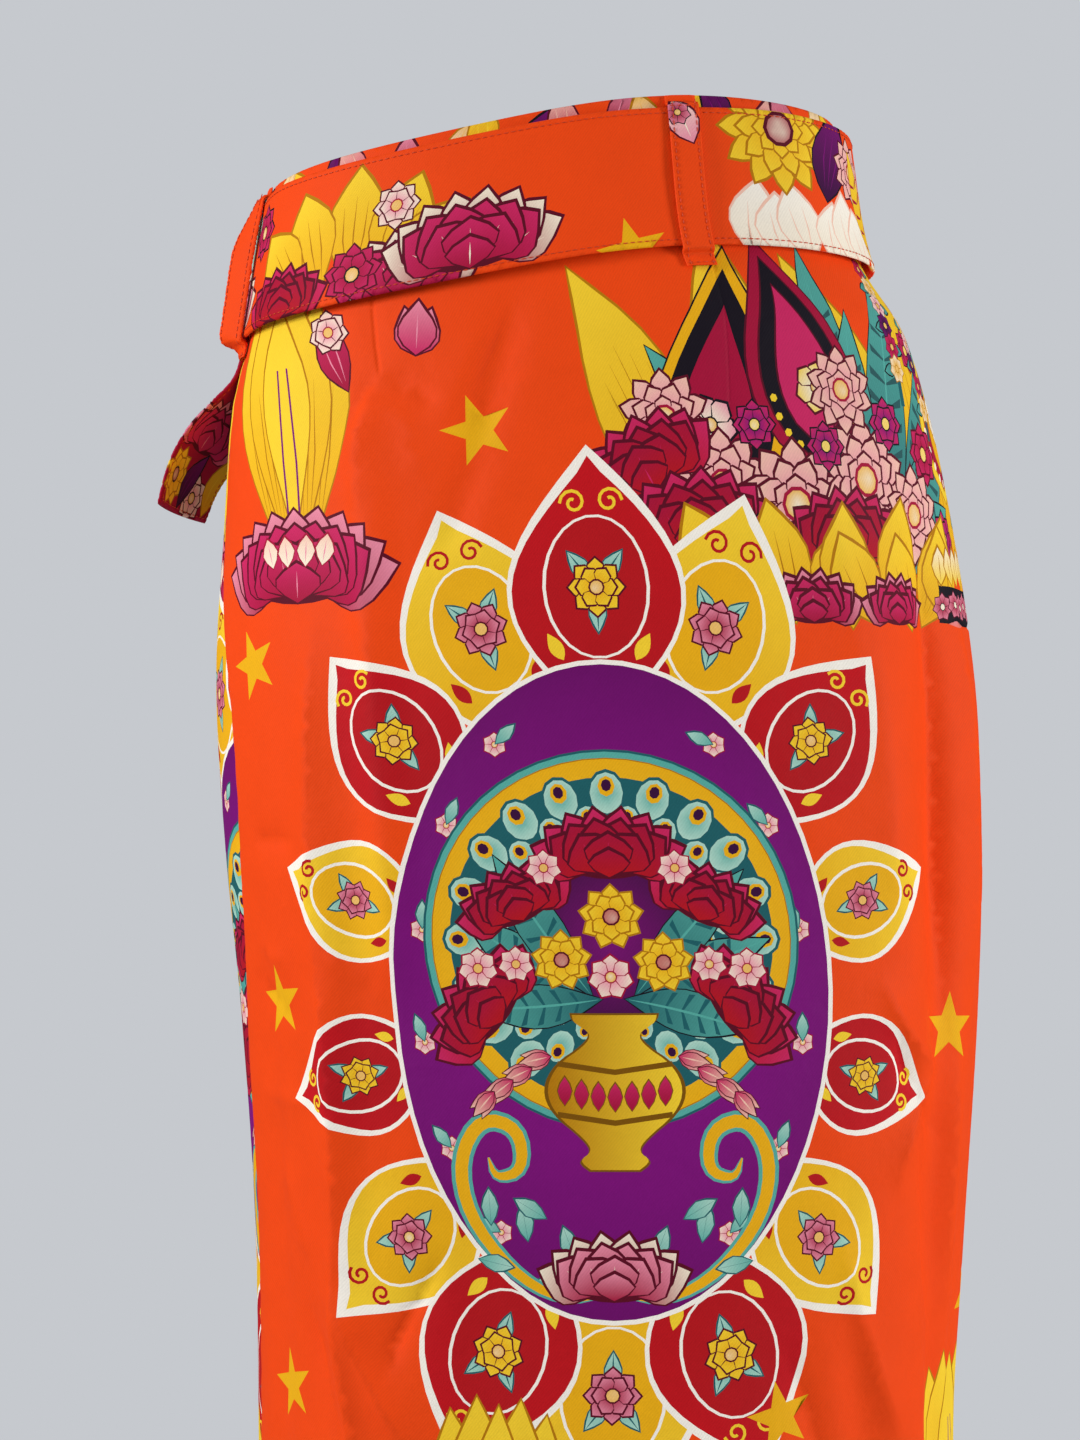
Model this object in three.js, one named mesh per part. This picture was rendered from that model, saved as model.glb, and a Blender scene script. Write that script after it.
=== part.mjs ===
// A high-waisted straight silk skirt in its worn, hollow form: a front panel, two back panels, a waistband,
// a wide self-fabric belt held by four loops, and the belt's short free tail at the left hip.
// Millimetres, +Z up. The front faces -Y. The origin is the middle of the waist seam, where the body holds
// the skirt.
import * as THREE from "three";

// Driving sizes.
const WAISTBAND_HEIGHT = 64;
const SKIRT_DROP = 680; // waist seam to hem
const BELT_HEIGHT = 61;
const BELT_BELOW_SEAM = 3; // the belt covers the waist seam by this much
const BELT_CLEAR = 0.9; // between the waistband and the belt where the belt lies closest
const BELT_SLACK = 3.2; // how much further off the belt stands between its loops
const BELT_DRAWN_IN = [3, 22]; // degrees from a loop over which that slack grows
const TAIL_SLACK = 5.6; // how far the belt stands off over its own tucked tail
// The degrees over which the belt rises over the tail, and over which it comes down again.
const TAIL_RISE = [229, 241];
const TAIL_FALL = [269.5, 275.5];
const LOW_EDGE_SLACK = 0.55; // the share of the slack that is left at the belt's lower edge
const LOOP_WIDTH = 13;
const LOOP_END = 9; // the sewn end of a loop, below the belt
const PLACKET_WIDTH = 26;
const PLACKET_LAP = 0.62; // the share of its width that lies to the right of the back seam
const PLACKET_BOTTOM = -190;
const CLOTH = 1.2; // one layer of silk with its seam allowances, as a wall
const BAND = 2.0; // two layers and a stiffener
const BELT = 2.2;
const STRAP = 1.5;
const TAIL_THICK = 1.6;
const SEAM_GAP = 0.4;

// How finely each wall is divided, across and down.
const GRID = {
  front: { columns: 38, rows: 26 },
  back: { columns: 18, rows: 26 },
  placket: { columns: 4, rows: 14 },
  waistband: { columns: 90, rows: 3 },
  belt: { columns: 96, rows: 3 },
  tail: { columns: 6, rows: 18 },
  loop: { columns: 2 },
};
const ROWS_GATHER = 1.3; // above 1, a wall's rows lie closer together near the waist

// The waist rides up towards +X, and is lifted in a low arch at the front. Both are gone at WAIST_EASE_END.
const WAIST_TILT = 0.114;
const WAIST_ARCH = { height: 6.5, angle: 17, width: 34 };
const WAIST_EASE_END = -170;
const CORNER_FULLNESS = 0.028; // how much squarer than an ellipse each ring is

// Angles run round the body in degrees: 0 at the front (-Y), 90 at +X, 180 at the back.
// One row for each height at which the seams are placed.
const SEAMS = [
  { z: 0, left: -80, right: 95, back: 188 },
  { z: -110, left: -78, right: 95, back: 188 },
  { z: -190, left: -67, right: 95, back: 188 },
  { z: -270, left: -68.5, right: 95, back: 188 },
  { z: -355, left: -75, right: 95, back: 188 },
  { z: -680, left: -77, right: 95, back: 188 },
];
const LOOPS = [
  { name: "belt_loop_front", angle: 24 },
  { name: "belt_loop_right", angle: 114 },
  { name: "belt_loop_back", angle: 204 },
  { name: "belt_loop_left", angle: 281 },
];

// One row for each ring: its height, half its width, how far its middle lies off the origin, and its depths.
const RINGS = [
  { z: 64, halfWidth: 128, shiftX: -3, front: 88, back: 90 },
  { z: 0, halfWidth: 139.5, shiftX: -2, front: 98, back: 101 },
  { z: -35, halfWidth: 153.5, shiftX: 4.4, front: 105, back: 111 },
  { z: -100, halfWidth: 164.8, shiftX: 11.8, front: 114, back: 125 },
  { z: -175, halfWidth: 172.6, shiftX: 16.2, front: 120, back: 132 },
  { z: -250, halfWidth: 171.6, shiftX: 19.4, front: 120, back: 129 },
  { z: -322, halfWidth: 167, shiftX: 21.8, front: 117, back: 123 },
  { z: -414, halfWidth: 161, shiftX: 22, front: 114, back: 118 },
  { z: -522, halfWidth: 157.4, shiftX: 20.2, front: 112, back: 115 },
  { z: -680, halfWidth: 155.5, shiftX: 18.8, front: 111, back: 114 },
];

// The largest folds. Each is a soft ridge, or a trough where its rise is below 0, and runs down from one
// angle to another.
const FOLDS = [
  { top: -40, bottom: -320, from: -33, to: -31, width: 9, rise: 3.5 },
  { top: 0, bottom: -130, from: -6, to: -23, width: 9, rise: -2.5 },
  { top: -140, bottom: -760, from: -42.5, to: -47, width: 10, rise: 4 },
  { top: -125, bottom: -560, from: 50, to: 68, width: 12, rise: -6.5 },
  { top: -190, bottom: -760, from: 80, to: 84, width: 14, rise: 1.5 },
  { top: -330, bottom: -760, from: -22, to: -18, width: 20, rise: -4 },
  { top: -360, bottom: -760, from: 14, to: 12, width: 26, rise: 3 },
  { top: -370, bottom: -760, from: 34, to: 62, width: 13, rise: -4.5 },
  { top: -200, bottom: -760, from: -62, to: -64, width: 12, rise: -3 },
  { top: -150, bottom: -760, from: 122, to: 118, width: 18, rise: -6 },
  { top: -180, bottom: -760, from: 146, to: 150, width: 16, rise: 5 },
  { top: -210, bottom: -760, from: 170, to: 168, width: 20, rise: -5 },
  { top: -150, bottom: -760, from: 216, to: 212, width: 20, rise: -5.5 },
  { top: -190, bottom: -760, from: 240, to: 243, width: 16, rise: 4.5 },
  { top: -170, bottom: -760, from: 262, to: 266, width: 13, rise: -4 },
];
const FOLD_STARTS = 0.3; // the share of a fold's length over which it grows to its full rise
const FOLD_ENDS = 0.14; // and over which it fades out below

// The belt's free tail, a strip that comes down from behind the belt and swings out from the hip.
// One row for each crossing of the strip: the angle, height and distance off the cloth of its two edges.
const TAIL = [
  { nearAngle: -91, nearZ: 14, nearOut: 3.2, farAngle: -117, farZ: 14, farOut: 3.2 },
  { nearAngle: -91, nearZ: -8, nearOut: 3.3, farAngle: -117, farZ: -8, farOut: 3.5 },
  { nearAngle: -91, nearZ: -19, nearOut: 5, farAngle: -116.5, farZ: -23, farOut: 6 },
  { nearAngle: -91, nearZ: -30, nearOut: 13, farAngle: -115.5, farZ: -39, farOut: 12 },
  { nearAngle: -91, nearZ: -43, nearOut: 22, farAngle: -114.5, farZ: -55, farOut: 20 },
  { nearAngle: -91.5, nearZ: -60, nearOut: 29, farAngle: -113, farZ: -71, farOut: 28 },
  { nearAngle: -92, nearZ: -82, nearOut: 33.5, farAngle: -112, farZ: -88, farOut: 33 },
];

const radians = THREE.MathUtils.degToRad;
const { smoothstep, lerp } = THREE.MathUtils;

// A smooth curve through one column of a table whose rows run downwards.
function column(table, key, z) {
  const last = table.length - 1;
  let i = table.findIndex((row) => row.z <= z) - 1;
  if (i < 0) i = z >= table[0].z ? 0 : last - 1;
  const row = (k) => table[THREE.MathUtils.clamp(k, 0, last)];
  const [before, here, next, after] = [row(i - 1), row(i), row(i + 1), row(i + 2)];
  const span = next.z - here.z;
  const t = (z - here.z) / span;
  const slope = (a, b) => ((b[key] - a[key]) / (b.z - a.z)) * span;
  const [startSlope, endSlope] = [slope(before, next), slope(here, after)];
  const [t2, t3] = [t * t, t * t * t];
  return (
    here[key] * (2 * t3 - 3 * t2 + 1) +
    startSlope * (t3 - 2 * t2 + t) +
    next[key] * (3 * t2 - 2 * t3) +
    endSlope * (t3 - t2)
  );
}

// How far the cloth at a place is lifted by the way the waist sits.
function waistLift(angle, x, z) {
  const fromFront = ((((angle + 180) % 360) + 360) % 360) - 180;
  const arch = WAIST_ARCH.height * Math.exp(-(((fromFront - WAIST_ARCH.angle) / WAIST_ARCH.width) ** 2));
  return smoothstep(z, WAIST_EASE_END, 0) * (WAIST_TILT * x + arch);
}

// A place on the plain body ring and the level direction that points straight out of it there.
function ringPlace(angle, z) {
  const turn = radians(angle);
  const [sin, cos] = [Math.sin(turn), Math.cos(turn)];
  const halfWidth = column(RINGS, "halfWidth", z);
  const depth = lerp(column(RINGS, "back", z), column(RINGS, "front", z), smoothstep(cos, -0.35, 0.35));
  const full = 1 + (CORNER_FULLNESS * (1 - Math.cos(4 * turn))) / 2;
  const x = column(RINGS, "shiftX", z) + halfWidth * full * sin;
  return {
    point: new THREE.Vector3(x, -depth * full * cos, z + waistLift(angle, x, z)),
    out: new THREE.Vector3(sin / halfWidth, -cos / depth, 0).normalize(),
    mmPerDegree: radians(Math.hypot(halfWidth * cos, depth * sin)),
  };
}

// How far the folds lift the cloth off the plain ring.
function foldRise(angle, z, mmPerDegree) {
  return FOLDS.reduce((rise, fold) => {
    const down = (fold.top - z) / (fold.top - fold.bottom);
    if (down <= 0 || down >= 1) return rise;
    const aside = (angle - lerp(fold.from, fold.to, down)) * mmPerDegree;
    const grows = smoothstep(down, 0, FOLD_STARTS) * smoothstep(1 - down, 0, FOLD_ENDS);
    return rise + fold.rise * grows * Math.exp(-((aside / fold.width) ** 2));
  }, 0);
}

function clothPoint(angle, z, off) {
  const { point, out, mmPerDegree } = ringPlace(angle, z);
  return point.addScaledVector(out, off + foldRise(angle, z, mmPerDegree));
}

// The belt is drawn in at each loop, and stands off the waistband between them and over the tucked tail.
function beltStandOff(angle) {
  const nearest = Math.min(...LOOPS.map((loop) => Math.abs(((angle - loop.angle + 540) % 360) - 180)));
  const tucked = smoothstep(angle, ...TAIL_RISE) * (1 - smoothstep(angle, ...TAIL_FALL));
  return Math.max(BELT_SLACK * smoothstep(nearest, ...BELT_DRAWN_IN), TAIL_SLACK * tucked);
}

// A closed wall on a grid of columns and rows, which is a ring where it closes on itself. pointAt gives its
// outer (side 1) and inner (side -1) points.
function wall({ columns, rows, closed = false }, pointAt) {
  const across = closed ? columns : columns + 1;
  const positions = [];
  for (const side of [1, -1])
    for (let row = 0; row <= rows; row++)
      for (let c = 0; c < across; c++) positions.push(...pointAt(c / columns, row / rows, side).toArray());
  const at = (side, c, row) => side * (rows + 1) * across + row * across + (c % across);
  const faces = [];
  const quad = (a, b, c, d) => faces.push(a, b, c, a, c, d);
  for (let row = 0; row < rows; row++)
    for (let c = 0; c < columns; c++) {
      quad(at(0, c, row), at(0, c, row + 1), at(0, c + 1, row + 1), at(0, c + 1, row));
      quad(at(1, c, row), at(1, c + 1, row), at(1, c + 1, row + 1), at(1, c, row + 1));
    }
  for (let c = 0; c < columns; c++) {
    quad(at(0, c, 0), at(0, c + 1, 0), at(1, c + 1, 0), at(1, c, 0));
    quad(at(0, c, rows), at(1, c, rows), at(1, c + 1, rows), at(0, c + 1, rows));
  }
  if (!closed)
    for (let row = 0; row < rows; row++) {
      quad(at(0, 0, row), at(1, 0, row), at(1, 0, row + 1), at(0, 0, row + 1));
      quad(at(0, columns, row), at(0, columns, row + 1), at(1, columns, row + 1), at(1, columns, row));
    }
  const geometry = new THREE.BufferGeometry();
  geometry.setAttribute("position", new THREE.Float32BufferAttribute(positions, 3));
  geometry.setIndex(faces);
  geometry.computeVertexNormals();
  return geometry;
}

// Where a seam runs at a height. A turn of 360 may be added, so that a panel's angles always rise.
function seamAngle(seam, z) {
  return column(SEAMS, seam.name, z) + (seam.turn || 0);
}

// A skirt panel between two seams, with a sewing gap at each and at the waist seam.
function panel(fromSeam, toSeam, grid) {
  return wall(grid, (across, down, side) => {
    const z = lerp(-SEAM_GAP, -SKIRT_DROP, down ** ROWS_GATHER);
    const [from, to] = [seamAngle(fromSeam, z), seamAngle(toSeam, z)];
    const trim = SEAM_GAP / 2 / ringPlace(across < 0.5 ? from : to, z).mmPerDegree;
    return clothPoint(lerp(from + trim, to - trim, across), z, (side * CLOTH) / 2);
  });
}

// The waistband opens where the centre back seam meets it.
function waistband() {
  const seam = SEAMS[0].back;
  return wall(GRID.waistband, (across, down, side) => {
    const z = lerp(WAISTBAND_HEIGHT, 0, down);
    const trim = SEAM_GAP / 2 / ringPlace(seam, z).mmPerDegree;
    return clothPoint(lerp(seam + trim, seam + 360 - trim, across), z, (side * BAND) / 2);
  });
}

// A lap of cloth over the zip, sewn along one side of the centre back seam.
function placket() {
  const top = -BELT_BELOW_SEAM - 1;
  return wall(GRID.placket, (across, down, side) => {
    const z = lerp(top, PLACKET_BOTTOM, down ** ROWS_GATHER);
    const seam = column(SEAMS, "back", z);
    const aside = (across - PLACKET_LAP) * PLACKET_WIDTH;
    const off = CLOTH / 2 + SEAM_GAP + (side > 0 ? CLOTH : 0);
    return clothPoint(seam + aside / ringPlace(seam, z).mmPerDegree, z, off);
  });
}

function belt() {
  return wall({ ...GRID.belt, closed: true }, (across, down, side) => {
    const angle = across * 360;
    const z = lerp(BELT_HEIGHT - BELT_BELOW_SEAM, -BELT_BELOW_SEAM, down);
    const inner = BAND / 2 + BELT_CLEAR + beltStandOff(angle) * lerp(1, LOW_EDGE_SLACK, down);
    return clothPoint(angle, z, inner + (side > 0 ? BELT : 0));
  });
}

// A loop is a strap over the belt. Its ends turn in, to the waistband above the belt and the cloth below it.
// One row for each bend gives the height and the distance off of the strap's inner face. Its outer face goes
// round the outside of the turn, so it bends higher or lower by wrap.
function beltLoop(angle) {
  const over = BAND / 2 + BELT_CLEAR + BELT + SEAM_GAP;
  const beltTop = BELT_HEIGHT - BELT_BELOW_SEAM;
  const bends = [
    { z: WAISTBAND_HEIGHT - 0.3, off: BAND / 2 + SEAM_GAP, wrap: 0 },
    { z: beltTop + 0.8, off: BAND / 2 + SEAM_GAP, wrap: STRAP },
    { z: beltTop + 0.4, off: over, wrap: STRAP },
    { z: beltTop / 2, off: over + 0.8, wrap: 0 },
    { z: -BELT_BELOW_SEAM - 0.6, off: over, wrap: -STRAP },
    { z: -BELT_BELOW_SEAM - 2.4, off: CLOTH / 2 + 0.5, wrap: -STRAP },
    { z: -BELT_BELOW_SEAM - LOOP_END, off: CLOTH / 2 + 0.5, wrap: 0 },
  ];
  const last = bends.length - 1;
  return wall({ ...GRID.loop, rows: last }, (across, down, side) => {
    const bend = bends[Math.round(down * last)];
    const z = bend.z + (side > 0 ? bend.wrap : 0);
    const halfAngle = LOOP_WIDTH / 2 / ringPlace(angle, z).mmPerDegree;
    return clothPoint(angle + lerp(-halfAngle, halfAngle, across), z, bend.off + (side > 0 ? STRAP : 0));
  });
}

// The tail is one more strip of the belt's cloth, between the two edges that the TAIL rows give.
function beltTail() {
  const rows = TAIL.map((row, i) => ({ ...row, z: -i }));
  const middle = (across, down) => {
    const at = (key) => column(rows, key, -down * (TAIL.length - 1));
    const between = (key) => lerp(at("near" + key), at("far" + key), across);
    return clothPoint(between("Angle"), between("Z"), between("Out"));
  };
  const step = 0.01;
  return wall(GRID.tail, (across, down, side) => {
    const onwards = down < 0.5 ? step : -step;
    const here = middle(across, down);
    const sideways = middle(across + step, down).sub(here);
    const downwards = middle(across, down + onwards).sub(here).multiplyScalar(Math.sign(onwards));
    const out = sideways.cross(downwards).normalize();
    return here.addScaledVector(out, (-side * TAIL_THICK) / 2);
  });
}

const silk = new THREE.MeshStandardMaterial({ color: "#ee4d1a", roughness: 0.45, metalness: 0 });
const stiffSilk = new THREE.MeshStandardMaterial({ color: "#ec4a18", roughness: 0.5, metalness: 0 });

const skirt = new THREE.Group();
function add(name, geometry, material) {
  const mesh = new THREE.Mesh(geometry, material);
  mesh.name = name;
  skirt.add(mesh);
}

const [left, right, back] = [{ name: "left" }, { name: "right" }, { name: "back" }];
add("front_panel", panel(left, right, GRID.front), silk);
add("back_right_panel", panel(right, back, GRID.back), silk);
add("back_left_panel", panel(back, { ...left, turn: 360 }, GRID.back), silk);
add("zip_placket", placket(), silk);
add("waistband", waistband(), stiffSilk);
add("belt", belt(), stiffSilk);
add("belt_tail", beltTail(), stiffSilk);
for (const loop of LOOPS) add(loop.name, beltLoop(loop.angle), stiffSilk);

export default skirt;
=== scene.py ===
"""A high-waisted straight skirt in printed orange silk, in the shape that it has when it is worn.

Sizes are in millimetres until a mesh is made. Angles run round the body in degrees: 0 at the front (-Y),
90 at +X, 180 at the back. Heights count from the waist seam, before the waist's own tilt is added.
"""

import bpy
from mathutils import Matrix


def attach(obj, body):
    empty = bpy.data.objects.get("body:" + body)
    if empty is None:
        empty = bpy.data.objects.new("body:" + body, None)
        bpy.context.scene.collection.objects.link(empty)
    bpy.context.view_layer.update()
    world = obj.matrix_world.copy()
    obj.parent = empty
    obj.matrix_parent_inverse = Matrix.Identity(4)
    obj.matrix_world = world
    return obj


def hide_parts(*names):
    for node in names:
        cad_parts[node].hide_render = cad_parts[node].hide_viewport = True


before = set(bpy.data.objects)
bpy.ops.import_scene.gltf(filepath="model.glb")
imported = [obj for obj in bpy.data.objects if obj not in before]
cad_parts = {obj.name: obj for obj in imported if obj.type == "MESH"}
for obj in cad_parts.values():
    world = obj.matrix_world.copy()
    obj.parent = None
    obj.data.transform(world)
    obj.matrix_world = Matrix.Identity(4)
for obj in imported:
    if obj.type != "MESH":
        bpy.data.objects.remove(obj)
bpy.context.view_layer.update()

import math

import bpy
import numpy as np
from mathutils.geometry import delaunay_2d_cdt
from mathutils.kdtree import KDTree

MM = 0.001
ROOT = "root"


def table(columns, *rows):
    """Rows of values under named columns."""
    return [dict(zip(columns.split(), row)) for row in rows]


# ---------------- the skirt's sizes

WAISTBAND_HEIGHT = 64
SKIRT_DROP = 680
BELT_HEIGHT = 61
BELT_BELOW_SEAM = 3
BELT_CLEAR = 0.9
BELT_SLACK = 3.2
BELT_DRAWN_IN = (3, 22)
TAIL_SLACK = 5.6
TAIL_RISE = (229, 241)
TAIL_FALL = (269.5, 275.5)
LOW_EDGE_SLACK = 0.55
LOOP_WIDTH = 13
LOOP_END = 9
PLACKET_WIDTH = 26
PLACKET_LAP = 0.62
PLACKET_BOTTOM = -190
CLOTH = 1.2
BAND = 2.0
BELT = 2.2
STRAP = 1.5
TAIL_THICK = 1.6
SEAM_GAP = 0.4

WAIST_TILT = 0.114
WAIST_ARCH = {"height": 6.5, "angle": 17, "width": 34}
WAIST_EASE_END = -170
CORNER_FULLNESS = 0.028

SEAMS = table(
    "z left right back",
    (0, -80, 95, 188),
    (-110, -78, 95, 188),
    (-190, -67, 95, 188),
    (-270, -68.5, 95, 188),
    (-355, -75, 95, 188),
    (-680, -77, 95, 188),
)
LOOPS = {"belt_loop_front": 24, "belt_loop_right": 114, "belt_loop_back": 204, "belt_loop_left": 281}
RINGS = table(
    "z half_width shift_x front back",
    (64, 128, -3, 88, 90),
    (0, 139.5, -2, 98, 101),
    (-35, 153.5, 4.4, 105, 111),
    (-100, 164.8, 11.8, 114, 125),
    (-175, 172.6, 16.2, 120, 132),
    (-250, 171.6, 19.4, 120, 129),
    (-322, 167, 21.8, 117, 123),
    (-414, 161, 22, 114, 118),
    (-522, 157.4, 20.2, 112, 115),
    (-680, 155.5, 18.8, 111, 114),
)
# The large folds, each from one angle at its top to another at its bottom.
FOLDS = table(
    "top bottom from to width rise",
    (-40, -320, -33, -31, 9, 3.5),
    (0, -130, -6, -23, 9, -2.5),
    (-140, -760, -42.5, -47, 10, 4),
    (-125, -560, 50, 68, 12, -6.5),
    (-190, -760, 80, 84, 14, 1.5),
    (-330, -760, -22, -18, 20, -4),
    (-360, -760, 14, 12, 26, 3),
    (-370, -760, 34, 62, 13, -4.5),
    (-200, -760, -62, -64, 12, -3),
    (-150, -760, 122, 118, 18, -6),
    (-180, -760, 146, 150, 16, 5),
    (-210, -760, 170, 168, 20, -5),
    (-150, -760, 216, 212, 20, -5.5),
    (-190, -760, 240, 243, 16, 4.5),
    (-170, -760, 262, 266, 13, -4),
)
FOLD_STARTS = 0.3
FOLD_ENDS = 0.14
# The finer creases: each runs from (angle, height) to (angle, height), and bows sideways, is wide and rises
# so many mm. The smaller its sharp, the sharper its line.
CREASES = table(
    "start end bow width rise sharp",
    # round the left dart's tip
    ((-31.2, -36), (-34.6, -112), 5, 8, 1.3, 1.0),
    ((-34.6, -100), (-30.5, -190), 3, 9, 1.0, 1.2),
    ((-30.5, -38), (-22, -58), -2, 5, -0.8, 0.8),
    ((-31, -36), (-36.5, -62), 2, 5, -0.7, 0.8),
    ((-29.5, -50), (-25, -92), -3, 7, 0.7, 1.0),
    ((-30, -48), (-37, -80), 2, 6, 0.6, 1.0),
    # the soft diagonal from the band towards the left dart
    ((-7.5, -12), (-17, -78), 3, 8, -0.9, 1.5),
    ((-12, -20), (-22, -70), 2, 10, 0.6, 2),
    # long pressed crease down the left front, and its neighbours
    ((-42.9, -150), (-45.9, -300), 1, 7, 1.6, 0.7),
    ((-45.9, -280), (-44.5, -430), -3, 7, 1.7, 0.7),
    ((-45.5, -405), (-38.5, -560), 2, 7, 1.8, 0.8),
    ((-61, -240), (-48, -243), 2, 4, -0.9, 0.8),
    ((-63, -290), (-52, -300), -2, 4, 0.7, 0.8),
    ((-66, -300), (-50, -322), 2, 5, -0.8, 0.8),
    ((-43, -293), (-36, -298), 1, 4, 0.6, 0.6),
    ((-68, -352), (-47, -352), 3, 5, 0.8, 0.9),
    ((-44, -432), (-31, -500), 3, 7, 2.3, 0.9),
    ((-36, -470), (-25, -413), -3, 6, -1.7, 0.9),
    ((-53, -440), (-42, -520), -3, 8, -1.9, 1.4),
    ((-60, -380), (-49, -430), 2, 6, 0.8, 1.0),
    # the right side: a deep vertical fold, then arched wrinkles under it
    ((55.5, -105), (62.5, -335), 3, 7, -3.4, 3.5),
    ((64, -120), (71.5, -330), -2, 8, 2.0, 2),
    ((41, -130), (45, -290), 2, 12, 1.4, 4),
    ((41, -300), (60, -345), 7, 6, 1.7, 1.0),
    ((44, -322), (62, -372), 7, 6, -1.6, 1.0),
    ((57, -340), (47, -392), 5, 6, 1.6, 1.0),
    ((66, -330), (73, -470), 4, 8, 1.5, 1.2),
    ((52, -360), (60, -450), -4, 8, -1.7, 1.5),
    ((35, -405), (52, -505), 4, 9, 2.1, 1.5),
    ((26, -450), (40, -560), -3, 9, -1.7, 2),
    ((70, -400), (80, -520), 3, 8, -1.2, 1.5),
    # faint pressed lines across the front
    ((-14, -52), (5, -44), 1, 2.2, 0.22, 0.3),
    ((-4, -67), (9, -63), 1, 2.2, 0.2, 0.3),
    ((-2, -200), (1, -420), 2, 9, 0.5, 2),
    ((12, -40), (8, -170), 3, 12, -0.7, 3),
    ((34, -70), (38, -200), -3, 10, 0.8, 2),
    ((-20, -520), (-8, -640), 4, 9, 1.7, 1.5),
    ((4, -560), (16, -660), -4, 9, -1.5, 1.5),
    ((-62, -560), (-50, -650), 4, 8, 1.6, 1.2),
    # the hidden sides carry creases like these
    ((112, -30), (118, -150), 4, 8, -1.2, 1.2),
    ((122, -150), (118, -330), 4, 8, 1.3, 1.0),
    ((131, -260), (146, -300), 6, 6, 1.1, 1.0),
    ((128, -285), (148, -335), 6, 6, -1.0, 1.0),
    ((152, -230), (156, -420), -4, 8, 1.3, 1.1),
    ((140, -420), (128, -560), 4, 9, 1.4, 1.3),
    ((168, -300), (176, -390), 5, 7, -1.1, 1.0),
    ((170, -450), (160, -600), 4, 9, 1.1, 1.4),
    ((200, -40), (208, -170), 4, 9, 1.2, 1.4),
    ((206, -240), (226, -285), 7, 6, 1.1, 1.0),
    ((203, -262), (224, -318), 7, 6, -1.1, 1.0),
    ((218, -330), (212, -500), 3, 8, -1.4, 1.2),
    ((236, -210), (242, -380), -3, 7, 1.3, 0.9),
    ((242, -380), (236, -560), 3, 8, 1.2, 1.0),
    ((256, -150), (264, -260), 3, 7, -1.2, 1.1),
    ((252, -420), (266, -520), 5, 7, 1.1, 1.1),
    ((246, -560), (258, -650), -4, 8, -1.1, 1.4),
)
CREASING = 2.3  # how far the creases are pressed in
# Sewn darts: where each starts at the waist seam, and where it points to.
DARTS = table(
    "top tip",
    ((-33.4, 0), (-31.0, -40)),
    ((27.0, 0), (21.7, -80)),
)
# The belt's tail, one row for each crossing of the strip.
TAIL = table(
    "near far",
    ((-91, 14, 3.2), (-117, 14, 3.2)),
    ((-91, -8, 3.3), (-117, -8, 3.5)),
    ((-91, -19, 5), (-116.5, -23, 6)),
    ((-91, -30, 13), (-115.5, -39, 12)),
    ((-91, -43, 22), (-114.5, -55, 20)),
    ((-91.5, -60, 29), (-113, -71, 28)),
    ((-92, -82, 33.5), (-112, -88, 33)),
)

# ---------------- colour


def linear(hex_colour):
    """An sRGB hex colour as linear red, green and blue."""
    srgb = np.array([int(hex_colour[i:i + 2], 16) / 255 for i in (1, 3, 5)])
    return np.where(srgb <= 0.04045, srgb / 12.92, ((srgb + 0.055) / 1.055) ** 2.4)


ORANGE = "#f4490f"
GOLD = "#f0b114"
YELLOW = "#fad232"
AMBER = "#b87a08"
OCHRE = "#7d5206"
CRIMSON = "#a8103a"
MAGENTA = "#cf2763"
WINE = "#5c0a22"
RED = "#b9141c"
PINK = "#ee8fa6"
BLUSH = "#f7c6b0"
CREAM = "#faecd4"
PURPLE = "#7d1072"
PLUM = "#3a0c3c"
TEAL = "#58aea2"
SEA = "#1f6066"
MINT = "#b4dccb"
INK = "#17111c"
WHITE = "#fdf6ea"
# Colours that go together: a dark edge, the base and the tip, then a flower's heart and the heart's edge.
GOLDEN = (AMBER, GOLD, YELLOW)
ROSE = (WINE, CRIMSON, MAGENTA)
RUBY = (WINE, RED, CRIMSON, MAGENTA)
NIGHT = (INK, PLUM, PURPLE)
FROND = (INK, SEA, TEAL)
SPRIG = (SEA, TEAL, MINT)
PALE = (WINE, PINK, CREAM, GOLD, CRIMSON)
BLUSHING = (WINE, PINK, BLUSH, GOLD, CRIMSON)
POSY = (CRIMSON, PINK, CREAM, GOLD, CRIMSON)


# ---------------- the body's surface


def ease(x, start, end):
    """0 before start, 1 after end, smooth between them."""
    t = np.clip((x - start) / (end - start), 0, 1)
    return t * t * (3 - 2 * t)


def curve(rows, key):
    """A smooth curve through one column of a table whose rows run downwards, as a function of height."""
    height = np.array([row["z"] for row in rows], float)
    value = np.array([row[key] for row in rows], float)
    slope = np.empty(len(value))
    slope[1:-1] = (value[2:] - value[:-2]) / (height[2:] - height[:-2])
    slope[[0, -1]] = (np.diff(value) / np.diff(height))[[0, -1]]

    def at(z):
        i = np.clip(np.searchsorted(-height, -np.asarray(z, float), side="right") - 1, 0, len(height) - 2)
        span = height[i + 1] - height[i]
        t = (z - height[i]) / span
        t2, t3 = t * t, t ** 3
        return (value[i] * (2 * t3 - 3 * t2 + 1) + slope[i] * span * (t3 - 2 * t2 + t)
                + value[i + 1] * (3 * t2 - 2 * t3) + slope[i + 1] * span * (t3 - t2))

    return at


RING = {key: curve(RINGS, key) for key in ("half_width", "shift_x", "front", "back")}
SEAM = {key: curve(SEAMS, key) for key in ("left", "right", "back")}


def round_turn(angle):
    """The same angle between -180 and 180."""
    return (angle + 180) % 360 - 180


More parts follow.
